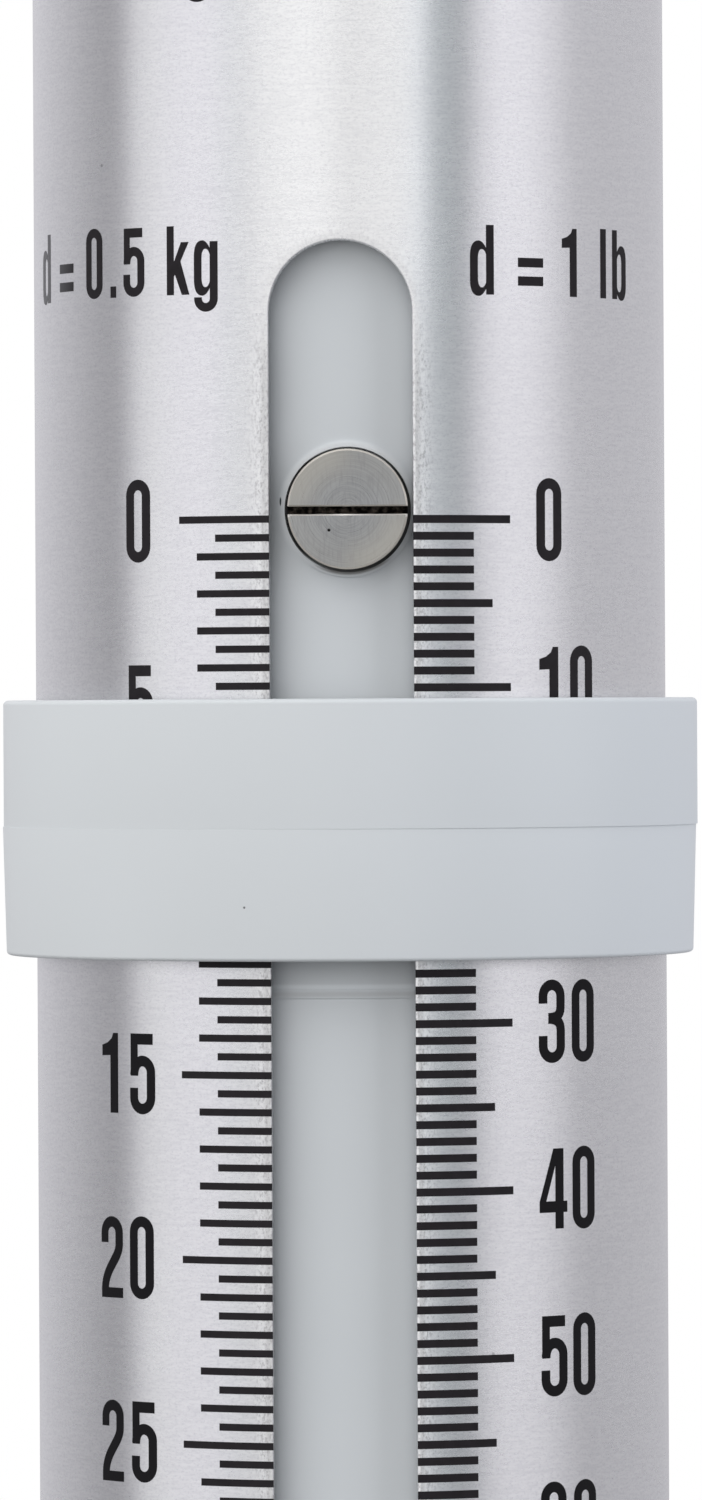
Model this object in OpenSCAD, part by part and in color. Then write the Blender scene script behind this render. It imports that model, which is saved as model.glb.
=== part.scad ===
// Tubular hanging spring balance, 50 kg and 110 lb, with a drag ring, a tare knob and a swivel hook.
// Millimetres, +Z up, front towards -Y. The origin is the middle of the hand grip, on the tube's axis.

/* [Scale] */
// How far the inner tube moves at full load
scale_travel = 108.4; // [60:0.1:160]
// Travel past full load
over_travel = 5; // [0:0.5:10]
// How far the tare knob lifts the pointer above rest
tare_up = 11.2; // [2:0.1:14]
// How far the tare knob lowers the pointer below rest
tare_down = 2; // [0:0.1:3]

/* [Outer tube] */
// Outside diameter of the aluminium tube
tube_od = 38; // [36:1:50]
// Wall of the aluminium tube
tube_wall = 1.5; // [1.3:0.1:2]
// Width of the slot that shows the inner tube
slot_w = 8.4; // [8:0.1:11]
// Room above the pointer screw at the top of its travel
slot_top_clear = 1; // [0.5:0.1:4]
// Room below the pointer screw at the bottom of its travel
slot_end_clear = 3.6; // [1:0.1:8]
// Length of the tube below the slot
tube_below_slot = 23; // [16:1:40]

/* [Inner tube] */
// Running gap between the inner tube and the outer tube
tube_gap = 0.4; // [0.3:0.05:0.6]
// Wall of the inner tube
inner_wall = 3; // [2.4:0.1:3.6]
// How far the inner tube still covers the slot's top at its lowest place
inner_cover = 1.3; // [1:0.1:10]
// Height of the guide ring on top of the inner tube
guide_h = 6; // [4:0.5:10]
// Radial thickness of the guide ring
guide_t = 1.3; // [1:0.1:1.6]
// Running gap between the guide ring and the outer tube
guide_gap = 0.1; // [0.08:0.01:0.2]
// Distance of the moulded ridge below the zero line
ridge_below_zero = 27.8; // [20:0.1:40]
// Height of the moulded ridge above the tube's surface
ridge_rise = 0.12; // [0.05:0.01:0.2]

/* [Pointer screw] */
// Height of the pointer screw's middle above the zero line
pointer_above_zero = 0.56; // [0:0.02:1]
// Gap between the head and the slot's sides when the head is in the middle
pointer_side_gap = 0.68; // [0.4:0.01:0.8]
// How far the pointer leans to one side in that play
pointer_lean = 0.42; // [0:0.01:0.5]
// How far the screw's head stands out of the boss
pointer_head_h = 1.35; // [1:0.05:1.5]
// Depth of the counterbore that the head sits in, from the boss's face
pointer_sunk = 0.8; // [0.5:0.1:1.2]
// Gap round the head in its counterbore
pointer_round_gap = 0.15; // [0.1:0.01:0.3]
// Diameter of the screw's thread
pointer_thread_d = 4; // [3:0.1:5]
// Width of the driver slot in the screw's head
pointer_slot_w = 0.48; // [0.4:0.02:0.8]
// Width of the low boss round the counterbore
pointer_boss_lip = 0.28; // [0.1:0.01:0.4]
// Height of the low boss round the head
pointer_boss_h = 0.25; // [0.1:0.01:0.28]

/* [Drag ring] */
// Distance of the ring's top below the zero line
ring_below_zero = 10.5; // [5:0.1:20]
// Height of the whole ring
ring_h = 15.2; // [12:0.1:20]
// Wall of the ring
ring_wall = 1.6; // [1.4:0.1:3]
// How much the ring's lower half narrows towards its bottom
ring_draft = 0.4; // [0:0.05:0.6]
// Radius on the ring's outer edges
ring_edge = 0.7; // [0.4:0.1:1]
// Running gap between the ring and the tube
ring_gap = 0.35; // [0.25:0.05:0.5]
// Height of the friction clip inside the ring
clip_h = 5; // [3:0.5:8]
// Thickness of the friction clip
clip_t = 0.8; // [0.4:0.05:0.9]
// Running gap on each side of the friction clip
clip_gap = 0.1; // [0.05:0.01:0.15]
// Gap between the clip's ends, measured as an angle
clip_open_angle = 60; // [40:1:90]

/* [Top cap] */
// How far the cap and the bottom collar stand out past the tube
cap_lip = 2; // [1.5:0.1:4]
// Height of the cap above the tube
cap_head_h = 14; // [14:0.5:20]
// Depth of the cap inside the tube
cap_plug_h = 10; // [8:0.5:16]
// Radius on the cap's upper edge
cap_edge = 2; // [0.5:0.5:2.5]
// Gap between a plug and the bore that holds it
fit_gap = 0.05; // [0.02:0.01:0.08]
// Thread of the small screws in the cap, the collar and the end plug
small_screw_d = 3; // [2:0.1:3.4]
// Head diameter of the small screws
small_head_d = 5.6; // [4.4:0.1:6.5]
// Head height of the small screws
small_head_h = 1.6; // [1:0.1:1.8]
// Length of the small screws in the cap
small_screw_len = 6.5; // [4:0.5:8]

/* [Handle] */
// Height of the grip's middle above the bail's pivot
grip_to_pivot = 71; // [62:1:110]
// Diameter of the bail's rod
bail_rod_d = 6; // [5:0.1:7]
// Half width of the bail at the grip
bail_half_w = 50; // [50:1:70]
// Bend radius of the rod's middle line beside the grip
bail_bend_r = 9; // [7:0.5:20]
// Bend radius of the rod's middle line at the foot of the bail
bail_foot_bend_r = 22; // [10:1:24]
// How far each end of the bail reaches into the cap
bail_reach = 8; // [5:0.5:9]
// Diameter of the grip at its waist
grip_d = 19; // [14:0.5:26]
// How far the grip's end beads stand out past its waist
grip_bead = 2; // [1.5:0.1:4]
// Room between each end of the grip and the bend beside it
grip_end_gap = 1; // [0:0.5:4]
// Gap between the bail and the bushes that it turns in
pivot_gap = 0.1; // [0.05:0.01:0.1]
// Wall of the pivot bushes
bush_wall = 1.4; // [0.8:0.1:1.6]
// How far the bush's flange stands out past the bush
bush_flange_lip = 1.5; // [0.5:0.1:1.8]
// Thickness of the bush's flange
bush_flange_t = 1; // [0.6:0.1:1.4]

/* [Tare screw] */
// Diameter of the tare spindle
spindle_d = 10; // [9:0.1:11]
// Diameter of the spindle where the upper spring plug is bolted on
spindle_neck_d = 8; // [6:0.1:8.4]
// Length of the spindle above the knob at rest
spindle_above_knob = 5; // [3:0.5:9]
// Running gap between the spindle and the bores that it passes
spindle_gap = 0.2; // [0.1:0.05:0.3]
// Diameter of the knob
knob_d = 26; // [24:0.5:34]
// Height of the knob
knob_h = 9; // [6:0.5:14]
// Number of grooves round the knob
knob_grooves = 24; // [12:1:30]
// Wall of the knob's brass insert
knob_insert_t = 2.45; // [1.5:0.05:4]
// Thickness of the washer under the knob
tare_washer_t = 1; // [0.5:0.1:2]
// How far the washer stands out past the insert
tare_washer_lip = 2; // [0.5:0.5:4]
// Diameter of the cross pin that keeps the spindle from turning
key_d = 3; // [2:0.1:3.4]
// How far the cross pin stands out of the spindle on each side
key_out = 3; // [1.5:0.1:3.4]
// Gap between the cross pin and the sides of its groove
key_gap = 0.2; // [0.1:0.05:0.3]

/* [Load spring] */
// Wire of the load spring
spring_wire = 4; // [3.4:0.1:4.1]
// Gap between the spring and the inner tube's bore
spring_bore_gap = 1.1; // [0.5:0.1:1.4]
// Number of turns
spring_turns = 54; // [30:1:55]
// Bend radius where the wire turns into its flange
spring_end_bend = 5; // [4.5:0.5:7]
// Thickness of the two spring plugs' flanges
plug_flange_t = 4; // [3:0.5:6]
// Gap between the two flanges and the inner tube's bore
plug_bore_gap = 1.1; // [0.3:0.1:1.6]
// Length of each plug's nose inside the spring
plug_nose_h = 12; // [8:0.5:20]
// Gap between each plug's nose and the turns round it
plug_nose_gap = 0.3; // [0.2:0.05:0.6]
// Width of the nut under the upper plug, across its flats
spindle_nut_af = 13; // [10:0.5:13.5]
// Height of that nut
spindle_nut_h = 6.5; // [4:0.5:9]

/* [Lower end] */
// Height of the bottom collar on the tube
collar_h = 12; // [8:0.5:15]
// Thickness of the collar's lip below the tube
collar_lip_h = 3; // [2:0.5:6]
// Thickness of the end plug's flange
end_flange_t = 5; // [4:0.5:8]
// How far that flange stands out past the tube
end_flange_lip = 0.5; // [0:0.1:1.5]
// Height of the rubber buffer ring
buffer_h = 3; // [2:0.5:6]
// Gap left at the top of the tare screw's travel
stop_gap = 0.8; // [0.5:0.1:1.5]
// Floor of the end plug under the hook's nut
end_floor_t = 8; // [6:0.5:12]
// Gap round the corners of the hook's nut
nut_round_gap = 2.5; // [2:0.1:3]

/* [Hook] */
// Thread of the hook's shank
shank_d = 8; // [6:0.1:8.4]
// Width of the hook's nut, across its flats
hook_nut_af = 13; // [12:0.5:14]
// Height of the hook's nut
hook_nut_h = 8; // [6:0.5:10]
// Thickness of the thrust washer under the nut
thrust_washer_t = 1.5; // [0.8:0.1:3]
// Diameter of the split pin
split_pin_d = 1.6; // [1:0.1:2]
// How far the hook's collar stands out past the shank
hook_collar_lip = 3.5; // [2:0.1:6]
// Thickness of that collar
hook_collar_h = 3; // [2:0.5:6]
// Running gap between the turning hook and the end plug
swivel_gap = 0.3; // [0.2:0.05:0.4]
// Inner radius of the hook's bowl
bowl_r = 13; // [11:0.5:20]
// Thickness of the hook, and its width
hook_t = 8; // [7:0.5:10]
// Radius on the hook's long edges
hook_edge = 2.6; // [1.5:0.1:3]
// Height of the straight tip above the bowl's middle
hook_tip_h = 5.5; // [3:0.5:7]
// Length of the neck between the collar and the hook's ring
hook_neck_h = 1; // [0.5:0.5:6]

/* [Hidden] */
$fn = 96;

// Radii of the tubes and of what runs on them
tube_r = tube_od / 2;
tube_bore_r = tube_r - tube_wall;
inner_r = tube_bore_r - tube_gap;
inner_bore_r = inner_r - inner_wall;
guide_r = tube_bore_r - guide_gap;
guide_seat_r = guide_r - guide_t;
cap_r = tube_r + cap_lip;
ring_bore_r = tube_r + ring_gap;
ring_r = ring_bore_r + ring_wall;
ring_low_r = ring_r - ring_draft / 2;
clip_inner_r = tube_r + clip_gap;
clip_groove_r = clip_inner_r + clip_t + clip_gap;
end_flange_r = tube_r + end_flange_lip;

// Pointer screw
pointer_head_d = slot_w - 2 * pointer_side_gap;
pointer_bore_d = pointer_head_d + 2 * pointer_round_gap;
pointer_boss_d = pointer_bore_d + 2 * pointer_boss_lip;
pointer_face_r = inner_r + pointer_boss_h;
pointer_seat_r = pointer_face_r - pointer_sunk;
pointer_turn = asin(pointer_lean / tube_r);

// Heights, from the grip down to the zero line and the slot
load_travel = scale_travel + over_travel;
slot_above_zero = pointer_above_zero + tare_up + pointer_head_d / 2 + slot_top_clear;
inner_above_zero = slot_above_zero + inner_cover + load_travel + tare_down;
tube_above_zero = inner_above_zero + tare_up + stop_gap + cap_plug_h;
pivot_z = -grip_to_pivot;
cap_top_z = pivot_z + cap_head_h / 2;
tube_top_z = pivot_z - cap_head_h / 2;
cap_plug_z = tube_top_z - cap_plug_h;
zero_z = tube_top_z - tube_above_zero;
pointer_z = zero_z + pointer_above_zero;
slot_top_z = zero_z + slot_above_zero;
slot_bottom_z = pointer_z - load_travel - tare_down - pointer_head_d / 2 - slot_end_clear;
tube_bottom_z = slot_bottom_z - tube_below_slot;
collar_bottom_z = tube_bottom_z - collar_lip_h;
ring_top_z = zero_z - ring_below_zero;
ring_mid_z = ring_top_z - ring_h / 2;
ring_bottom_z = ring_top_z - ring_h;
ridge_z = zero_z - ridge_below_zero;
ridge_half_h = 0.25;

// Inner tube and lower end
inner_top_z = zero_z + inner_above_zero;
buffer_top_z = collar_bottom_z - tare_up - stop_gap;
inner_bottom_z = buffer_top_z - buffer_h;
end_plug_bottom_z = inner_bottom_z - end_flange_t;
end_floor_z = end_plug_bottom_z + end_floor_t;
hook_nut_z = end_floor_z + thrust_washer_t;
shank_past_nut = 1.5;
nut_headroom = 4;
spigot_h = 4;
shank_top_z = hook_nut_z + hook_nut_h + shank_past_nut;
end_plug_top_z = shank_top_z + nut_headroom + spigot_h;
nut_cavity_r = hook_nut_af / 2 / cos(30) + nut_round_gap;
thrust_washer_side_gap = 1;
thrust_washer_r = nut_cavity_r - thrust_washer_side_gap;
split_pin_end_gap = 1.5;
split_pin_lift = 0.1;
split_pin_len = 2 * (nut_cavity_r - split_pin_end_gap);
split_pin_z = hook_nut_z + hook_nut_h - split_pin_d - split_pin_lift;
hook_collar_top_z = end_plug_bottom_z - swivel_gap;
hook_collar_bottom_z = hook_collar_top_z - hook_collar_h;
hook_mid_r = bowl_r + hook_t / 2;
hook_z = hook_collar_bottom_z - hook_neck_h - hook_t / 2 - hook_mid_r;

// Tare screw and spring
coil_rings = 8;
plug_below_rim = 2;
thread_past_nut = 1.5;
key_above_plug = 3.5;
washer_top_z = cap_top_z + tare_washer_t;
knob_top_z = washer_top_z + knob_h;
spindle_top_z = knob_top_z + spindle_above_knob;
spindle_bore_r = spindle_d / 2 + spindle_gap;
knob_insert_r = spindle_d / 2 + fit_gap + knob_insert_t;
key_len = spindle_d + 2 * key_out;
key_z = cap_plug_z + key_d / 2 + tare_down + key_above_plug;
key_groove_top_z = key_z + tare_up + key_d / 2 + stop_gap;
upper_plug_top_z = inner_top_z - plug_below_rim;
upper_flange_z = upper_plug_top_z - plug_flange_t;
lower_flange_z = end_plug_top_z + plug_flange_t;
spindle_nut_top_z = upper_flange_z - plug_nose_h;
spindle_neck_z = spindle_nut_top_z - spindle_nut_h - thread_past_nut;
spring_r = inner_bore_r - spring_bore_gap - spring_wire / 2;
plug_nose_r = (spring_r - spring_wire / 2) * cos(180 / coil_rings) - plug_nose_gap;
plug_flange_r = inner_bore_r - plug_bore_gap;

// Bail and bushes
grip_half_len = bail_half_w - bail_bend_r - grip_end_gap;
bush_bore_r = bail_rod_d / 2 + pivot_gap;
bush_r = bush_bore_r + bush_wall;
bush_flange_r = bush_r + bush_flange_lip;
bush_face_x = cap_r - bush_flange_t;
bail_end_x = cap_r - bail_reach;
bush_past_rod = 1;
bush_end_x = bail_end_x - bush_past_rod;

// Small screws
screw_clear = 0.1;
cap_screw_z = tube_top_z - cap_plug_h / 2;
cap_screw_angles = [90, 210, 330];
side_screw_angles = [30, 150, 90];
collar_screw_z = tube_bottom_z + collar_h / 2;
collar_screw_len = tube_wall + cap_lip;
end_screw_up = 15;
end_screw_sunk = 0.2;
end_screw_end_gap = 0.5;
end_screw_z = inner_bottom_z + end_screw_up;
end_screw_seat_r = inner_r - small_head_h - end_screw_sunk;
end_screw_len = end_screw_seat_r - nut_cavity_r - end_screw_end_gap;

// Small parts that several modules share

module ring(outer_r, bore_r, z0, z1) {
    translate([0, 0, z0]) difference() {
        cylinder(r = outer_r, h = z1 - z0);
        translate([0, 0, -1]) cylinder(r = bore_r, h = z1 - z0 + 2);
    }
}

// A cylinder that lies along the radius at an angle, from one radius to another
module radial(angle, z, r0, r1, d) {
    rotate([0, 0, angle]) translate([r0, 0, z]) rotate([0, 90, 0]) cylinder(d = d, h = r1 - r0);
}

// Pan head screws along the radius, with a driver slot in each head
module radial_screws(angles, z, seat_r, len) {
    slot_w_small = 0.7;
    slot_deep = 0.8;
    for (a = angles) difference() {
        union() {
            radial(a, z, seat_r - len, seat_r + 0.01, small_screw_d);
            radial(a, z, seat_r, seat_r + small_head_h, small_head_d);
        }
        rotate([0, 0, a])
            translate([seat_r + small_head_h - slot_deep, -slot_w_small / 2, z - small_head_d])
            cube([slot_deep + 1, slot_w_small, small_head_d * 2]);
    }
}

module hex(af, z0, h) {
    translate([0, 0, z0]) cylinder(d = af / cos(30), h = h, $fn = 6);
}

// Points along an arc round c, for the rounded edges of a profile
function arc(c, r, a0, a1, steps) =
    [for (i = [0 : steps]) let (a = a0 + (a1 - a0) * i / steps) c + r * [cos(a), sin(a)]];

// A rod bent square in the XZ plane, through a list of [x, z, bend radius] corners
function unit(v) = v / norm(v);
function flat(c) = [c[0], c[1]];

module square_bent_rod(corners, d) {
    for (i = [0 : len(corners) - 2]) {
        dir = unit(flat(corners[i + 1]) - flat(corners[i]));
        from = flat(corners[i]) + dir * corners[i][2];
        to = flat(corners[i + 1]) - dir * corners[i + 1][2];
        translate([from[0], 0, from[1]]) rotate([0, atan2(dir[0], dir[1]), 0])
            cylinder(d = d, h = norm(to - from));
    }
    for (i = [1 : len(corners) - 2]) {
        r = corners[i][2];
        back = unit(flat(corners[i - 1]) - flat(corners[i]));
        ahead = unit(flat(corners[i + 1]) - flat(corners[i]));
        middle = flat(corners[i]) + (back + ahead) * r;
        first = min([for (v = [-back, -ahead]) atan2(v[1], v[0])]);
        last = max([for (v = [-back, -ahead]) atan2(v[1], v[0])]);
        translate([middle[0], 0, middle[1]]) rotate([90, 0, 0])
            rotate([0, 0, last - first > 180 ? last : first])
            rotate_extrude(angle = 90) translate([r, 0]) circle(d = d, $fn = 48);
    }
}

// Tube assembly

module outer_tube() color("silver") difference() {
    ring(tube_r, tube_bore_r, tube_bottom_z, tube_top_z);
    for (z = [slot_top_z - slot_w / 2, slot_bottom_z + slot_w / 2])
        translate([0, 0, z]) rotate([90, 0, 0]) cylinder(d = slot_w, h = tube_od);
    translate([-slot_w / 2, -tube_od, slot_bottom_z + slot_w / 2])
        cube([slot_w, tube_od, slot_top_z - slot_bottom_z - slot_w]);
    for (a = cap_screw_angles)
        radial(a, cap_screw_z, tube_bore_r - 1, tube_r + 1, small_screw_d + 2 * screw_clear);
    for (a = side_screw_angles)
        radial(a, collar_screw_z, tube_bore_r - 1, tube_r + 1, small_screw_d + 2 * screw_clear);
}

module inner_tube() color("gainsboro") rotate([0, 0, pointer_turn]) difference() {
    union() {
        ring(guide_seat_r - fit_gap, inner_bore_r, inner_bottom_z, inner_top_z);
        ring(inner_r, inner_bore_r, inner_bottom_z, inner_top_z - guide_h);
        ring(inner_r + ridge_rise, inner_bore_r, ridge_z - ridge_half_h, ridge_z + ridge_half_h);
        intersection() {
            ring(pointer_face_r, inner_bore_r,
                 pointer_z - pointer_boss_d, pointer_z + pointer_boss_d);
            radial(-90, pointer_z, inner_bore_r - 2, tube_r, pointer_boss_d);
        }
    }
    radial(-90, pointer_z, inner_bore_r - 2, tube_r, pointer_thread_d + 2 * fit_gap);
    radial(-90, pointer_z, pointer_seat_r, tube_r, pointer_bore_d);
    for (a = side_screw_angles)
        radial(a, end_screw_z, inner_bore_r - 1, tube_r, small_screw_d + 2 * screw_clear);
    for (a = side_screw_angles)
        radial(a, end_screw_z, end_screw_seat_r, tube_r, small_head_d + 2 * screw_clear);
}

module guide_ring() color("white")
    ring(guide_r, guide_seat_r, inner_top_z - guide_h, inner_top_z);

module pointer_screw() color("dimgray") rotate([0, 0, pointer_turn]) {
    head_r = pointer_head_d / 2;
    top_r = pointer_face_r + pointer_head_h;
    chamfer = 0.12;
    difference() {
        translate([0, 0, pointer_z]) rotate([90, 0, 0]) rotate_extrude() polygon([
            [0, inner_bore_r + 0.1],
            [pointer_thread_d / 2, inner_bore_r + 0.1],
            [pointer_thread_d / 2, pointer_seat_r],
            [head_r, pointer_seat_r],
            [head_r, top_r - chamfer],
            [head_r - chamfer, top_r],
            [0, top_r]
        ]);
        translate([-pointer_head_d, -top_r - 1, pointer_z - pointer_slot_w / 2])
            cube([pointer_head_d * 2, 1 + pointer_head_h * 0.7, pointer_slot_w]);
    }
}

// Drag ring: two moulded halves over a spring clip that grips the tube

module ring_half(z_out, z_in, r_out, r_in) {
    up = z_out > z_in ? 1 : -1;
    groove = clip_h / 2 + clip_gap;
    rotate_extrude() polygon(concat(
        [[ring_bore_r, z_out]],
        arc([r_out - ring_edge, z_out - up * ring_edge], ring_edge, up * 90, 0, 6),
        [
            [r_in, z_in],
            [clip_groove_r, z_in],
            [clip_groove_r, z_in + up * groove],
            [ring_bore_r, z_in + up * groove]
        ]
    ));
}

module ring_upper_half() color("gainsboro")
    ring_half(ring_top_z, ring_mid_z, ring_r, ring_r);

module ring_lower_half() color("lightgray")
    ring_half(ring_bottom_z, ring_mid_z, ring_low_r, ring_r - ring_draft / 12);

module ring_friction_clip() color("slategray")
    translate([0, 0, ring_mid_z - clip_h / 2])
    rotate([0, 0, clip_open_angle / 2 - 90])
    rotate_extrude(angle = 360 - clip_open_angle)
    translate([clip_inner_r, 0]) square([clip_t, clip_h]);

// Top cap and its screws and bushes

module top_cap() color("gainsboro") difference() {
    union() {
        translate([0, 0, cap_plug_z]) cylinder(r = tube_bore_r - fit_gap, h = cap_plug_h + 1);
        rotate_extrude() union() {
            translate([0, tube_top_z]) square([cap_r, cap_head_h - cap_edge]);
            translate([0, tube_top_z]) square([cap_r - cap_edge, cap_head_h]);
            translate([cap_r - cap_edge, cap_top_z - cap_edge]) circle(r = cap_edge, $fn = 48);
        }
    }
    translate([0, 0, cap_plug_z - 1]) cylinder(r = spindle_bore_r, h = cap_plug_h + cap_head_h + 2);
    translate([-key_d / 2 - key_gap, -key_len / 2 - key_gap * 2, cap_plug_z - 1])
        cube([key_d + 2 * key_gap, key_len + 4 * key_gap, key_groove_top_z - cap_plug_z + 1]);
    for (a = [0, 180]) {
        radial(a, pivot_z, bush_end_x - 0.5, tube_od, 2 * (bush_r + fit_gap));
        radial(a, pivot_z, bush_face_x, tube_od, 2 * bush_flange_r + 0.4);
    }
    for (a = cap_screw_angles)
        radial(a, cap_screw_z, tube_r - small_screw_len - 0.5, tube_r + 1, small_screw_d + 2 * fit_gap);
}

module cap_screws() color("darkgray")
    radial_screws(cap_screw_angles, cap_screw_z, tube_r, small_screw_len);

module pivot_bushes() color("ivory") for (a = [0, 180]) difference() {
    union() {
        radial(a, pivot_z, bush_end_x, bush_face_x + 0.01, 2 * bush_r);
        radial(a, pivot_z, bush_face_x, bush_face_x + bush_flange_t, 2 * bush_flange_r);
    }
    radial(a, pivot_z, bush_end_x - 1, tube_od, 2 * bush_bore_r);
}

// Handle

module bail() color("silver") square_bent_rod([
    [bail_end_x, pivot_z, 0],
    [bail_half_w, pivot_z, bail_foot_bend_r],
    [bail_half_w, 0, bail_bend_r],
    [-bail_half_w, 0, bail_bend_r],
    [-bail_half_w, pivot_z, bail_foot_bend_r],
    [-bail_end_x, pivot_z, 0]
], bail_rod_d);

module handle_grip() color("darkslategray") {
    bead = 2.5;
    crown = 1.2;
    half = grip_half_len;
    waist_r = grip_d / 2;
    bead_r = waist_r + grip_bead;
    rotate([0, 90, 0]) difference() {
        rotate_extrude() union() {
            for (s = [-1, 1]) {
                translate([bead_r - bead, s * (half - bead)]) circle(r = bead, $fn = 48);
                translate([0, s > 0 ? half - 2 * bead : -half]) square([bead_r - bead, 2 * bead]);
            }
            polygon([
                [0, -half + bead], [bead_r - crown, -half + bead], [waist_r, -half * 0.62],
                [waist_r + crown, 0], [waist_r, half * 0.62],
                [bead_r - crown, half - bead], [0, half - bead]
            ]);
        }
        translate([0, 0, -half - 1]) cylinder(d = bail_rod_d + 2 * fit_gap, h = 2 * half + 2);
    }
}

// Tare screw

module tare_knob() color("gainsboro") {
    groove_d = 2.4;
    edge = 1.2;
    difference() {
        rotate_extrude() union() {
            translate([0, washer_top_z]) square([knob_d / 2 - edge, knob_h]);
            translate([0, washer_top_z + edge]) square([knob_d / 2, knob_h - 2 * edge]);
            for (z = [washer_top_z + edge, knob_top_z - edge])
                translate([knob_d / 2 - edge, z]) circle(r = edge, $fn = 48);
        }
        translate([0, 0, washer_top_z - 1]) cylinder(r = knob_insert_r + fit_gap, h = knob_h + 2);
        for (i = [0 : knob_grooves - 1])
            rotate([0, 0, i * 360 / knob_grooves]) translate([knob_d / 2 + 0.5, 0, washer_top_z - 1])
                cylinder(d = groove_d, h = knob_h + 2, $fn = 32);
    }
}

module tare_knob_insert() color("goldenrod")
    ring(knob_insert_r, spindle_d / 2 + fit_gap, washer_top_z, knob_top_z);

module tare_washer() color("darkgray")
    ring(knob_insert_r + tare_washer_lip, spindle_bore_r, cap_top_z, washer_top_z);

module tare_spindle() color("darkgray") difference() {
    chamfer = 1;
    rotate_extrude() polygon([
        [0, spindle_neck_z],
        [spindle_neck_d / 2, spindle_neck_z],
        [spindle_neck_d / 2, upper_plug_top_z],
        [spindle_d / 2, upper_plug_top_z],
        [spindle_d / 2, spindle_top_z - chamfer],
        [spindle_d / 2 - chamfer, spindle_top_z],
        [0, spindle_top_z]
    ]);
    radial(90, key_z, -spindle_d, spindle_d, key_d + 2 * fit_gap);
}

module spindle_key() color("dimgray")
    radial(90, key_z, -key_len / 2, key_len / 2, key_d);

module spring_plug(up) {
    face_z = up > 0 ? lower_flange_z : upper_flange_z;
    back_z = face_z - up * plug_flange_t;
    nose_z = face_z + up * plug_nose_h;
    translate([0, 0, min(face_z, back_z)]) cylinder(r = plug_flange_r, h = plug_flange_t);
    translate([0, 0, min(face_z, nose_z)]) cylinder(r = plug_nose_r, h = plug_nose_h);
}

module upper_spring_plug() color("darkkhaki") difference() {
    spring_plug(-1);
    translate([0, 0, spindle_neck_z]) cylinder(d = spindle_neck_d + 2 * fit_gap, h = tube_od * 2);
}

module spindle_nut() color("darkgray") difference() {
    hex(spindle_nut_af, spindle_nut_top_z - spindle_nut_h, spindle_nut_h);
    translate([0, 0, spindle_neck_z]) cylinder(d = spindle_neck_d + 2 * fit_gap, h = tube_od * 2);
}

// Load spring: one unbroken wire whose ends turn square into the two flanges

wire_sides = 6;
bend_steps = 4;
coil_low_z = lower_flange_z + spring_wire + spring_end_bend;
coil_high_z = upper_flange_z - spring_wire - spring_end_bend;
coil_pitch = (coil_high_z - coil_low_z) / spring_turns;
bend_angle = spring_end_bend / spring_r * 180 / PI;

function on_coil(angle, z) = [spring_r * cos(angle), spring_r * sin(angle), z];
function end_bend(a0, face_z, side) = concat(
    [on_coil(a0 - side * bend_angle, face_z)],
    [for (k = [0 : bend_steps - 1])
        let (a = 90 * k / bend_steps)
        on_coil(a0 - side * bend_angle * cos(a), face_z + side * (spring_wire + spring_end_bend * sin(a)))]
);
function reversed(list) = [for (i = [len(list) - 1 : -1 : 0]) list[i]];
coil_steps = spring_turns * coil_rings;
spring_path = concat(
    end_bend(0, lower_flange_z, 1),
    [for (i = [0 : coil_steps])
        on_coil(360 * i / coil_rings, coil_low_z + (coil_high_z - coil_low_z) * i / coil_steps)],
    reversed(end_bend(360 * spring_turns, upper_flange_z, -1))
);

function path_dir(p, i) =
    i == 0 ? unit(p[1] - p[0]) :
    i == len(p) - 1 ? unit(p[i] - p[i - 1]) :
    unit(unit(p[i + 1] - p[i]) + unit(p[i] - p[i - 1]));

module wire(p, r, sides) {
    points = [for (i = [0 : len(p) - 1])
        let (t = path_dir(p, i), n = unit([p[i][0], p[i][1], 0]), b = cross(t, n))
        for (k = [0 : sides - 1]) p[i] + r * (cos(360 * k / sides) * n + sin(360 * k / sides) * b)];
    last = (len(p) - 1) * sides;
    faces = concat(
        [for (k = [1 : sides - 2]) [0, k, k + 1]],
        [for (i = [0 : len(p) - 2]) for (k = [0 : sides - 1])
            let (a = i * sides + k, b = i * sides + (k + 1) % sides)
            each [[a, a + sides, b + sides], [a, b + sides, b]]],
        [for (k = [1 : sides - 2]) [last, last + k + 1, last + k]]
    );
    polyhedron(points, faces);
}

spring_gap = min([for (i = [0 : len(spring_path) - 1])
    for (j = [i + coil_rings / 2 + bend_steps : min(len(spring_path) - 1, i + 2 * coil_rings)])
    norm(spring_path[i] - spring_path[j])]) - spring_wire;
echo("least gap between the spring's turns", spring_gap);

module load_spring() color("lightsteelblue") wire(spring_path, spring_wire / 2, wire_sides);

module lower_spring_plug() color("darkkhaki") {
    spring_plug(1);
    translate([0, 0, end_plug_top_z - spigot_h])
        cylinder(r = nut_cavity_r - fit_gap, h = spigot_h + 0.01);
}

// Lower end of the tube

module bottom_collar() color("gainsboro") difference() {
    edge = 1;
    rotate_extrude() difference() {
        union() {
            translate([0, collar_bottom_z + edge])
                square([cap_r, collar_lip_h + collar_h - 2 * edge]);
            translate([0, collar_bottom_z]) square([cap_r - edge, collar_lip_h + collar_h]);
            for (z = [collar_bottom_z + edge, tube_bottom_z + collar_h - edge])
                translate([cap_r - edge, z]) circle(r = edge, $fn = 48);
        }
        translate([0, tube_bottom_z]) square([tube_r + fit_gap, collar_h + 1]);
        translate([0, collar_bottom_z - 1]) square([tube_bore_r - guide_gap, collar_lip_h + 2]);
    }
    for (a = side_screw_angles)
        radial(a, collar_screw_z, tube_r - 1, tube_od, small_screw_d + 2 * screw_clear);
}

module collar_screws() color("darkgray")
    radial_screws(side_screw_angles, collar_screw_z, cap_r, collar_screw_len);

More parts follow.
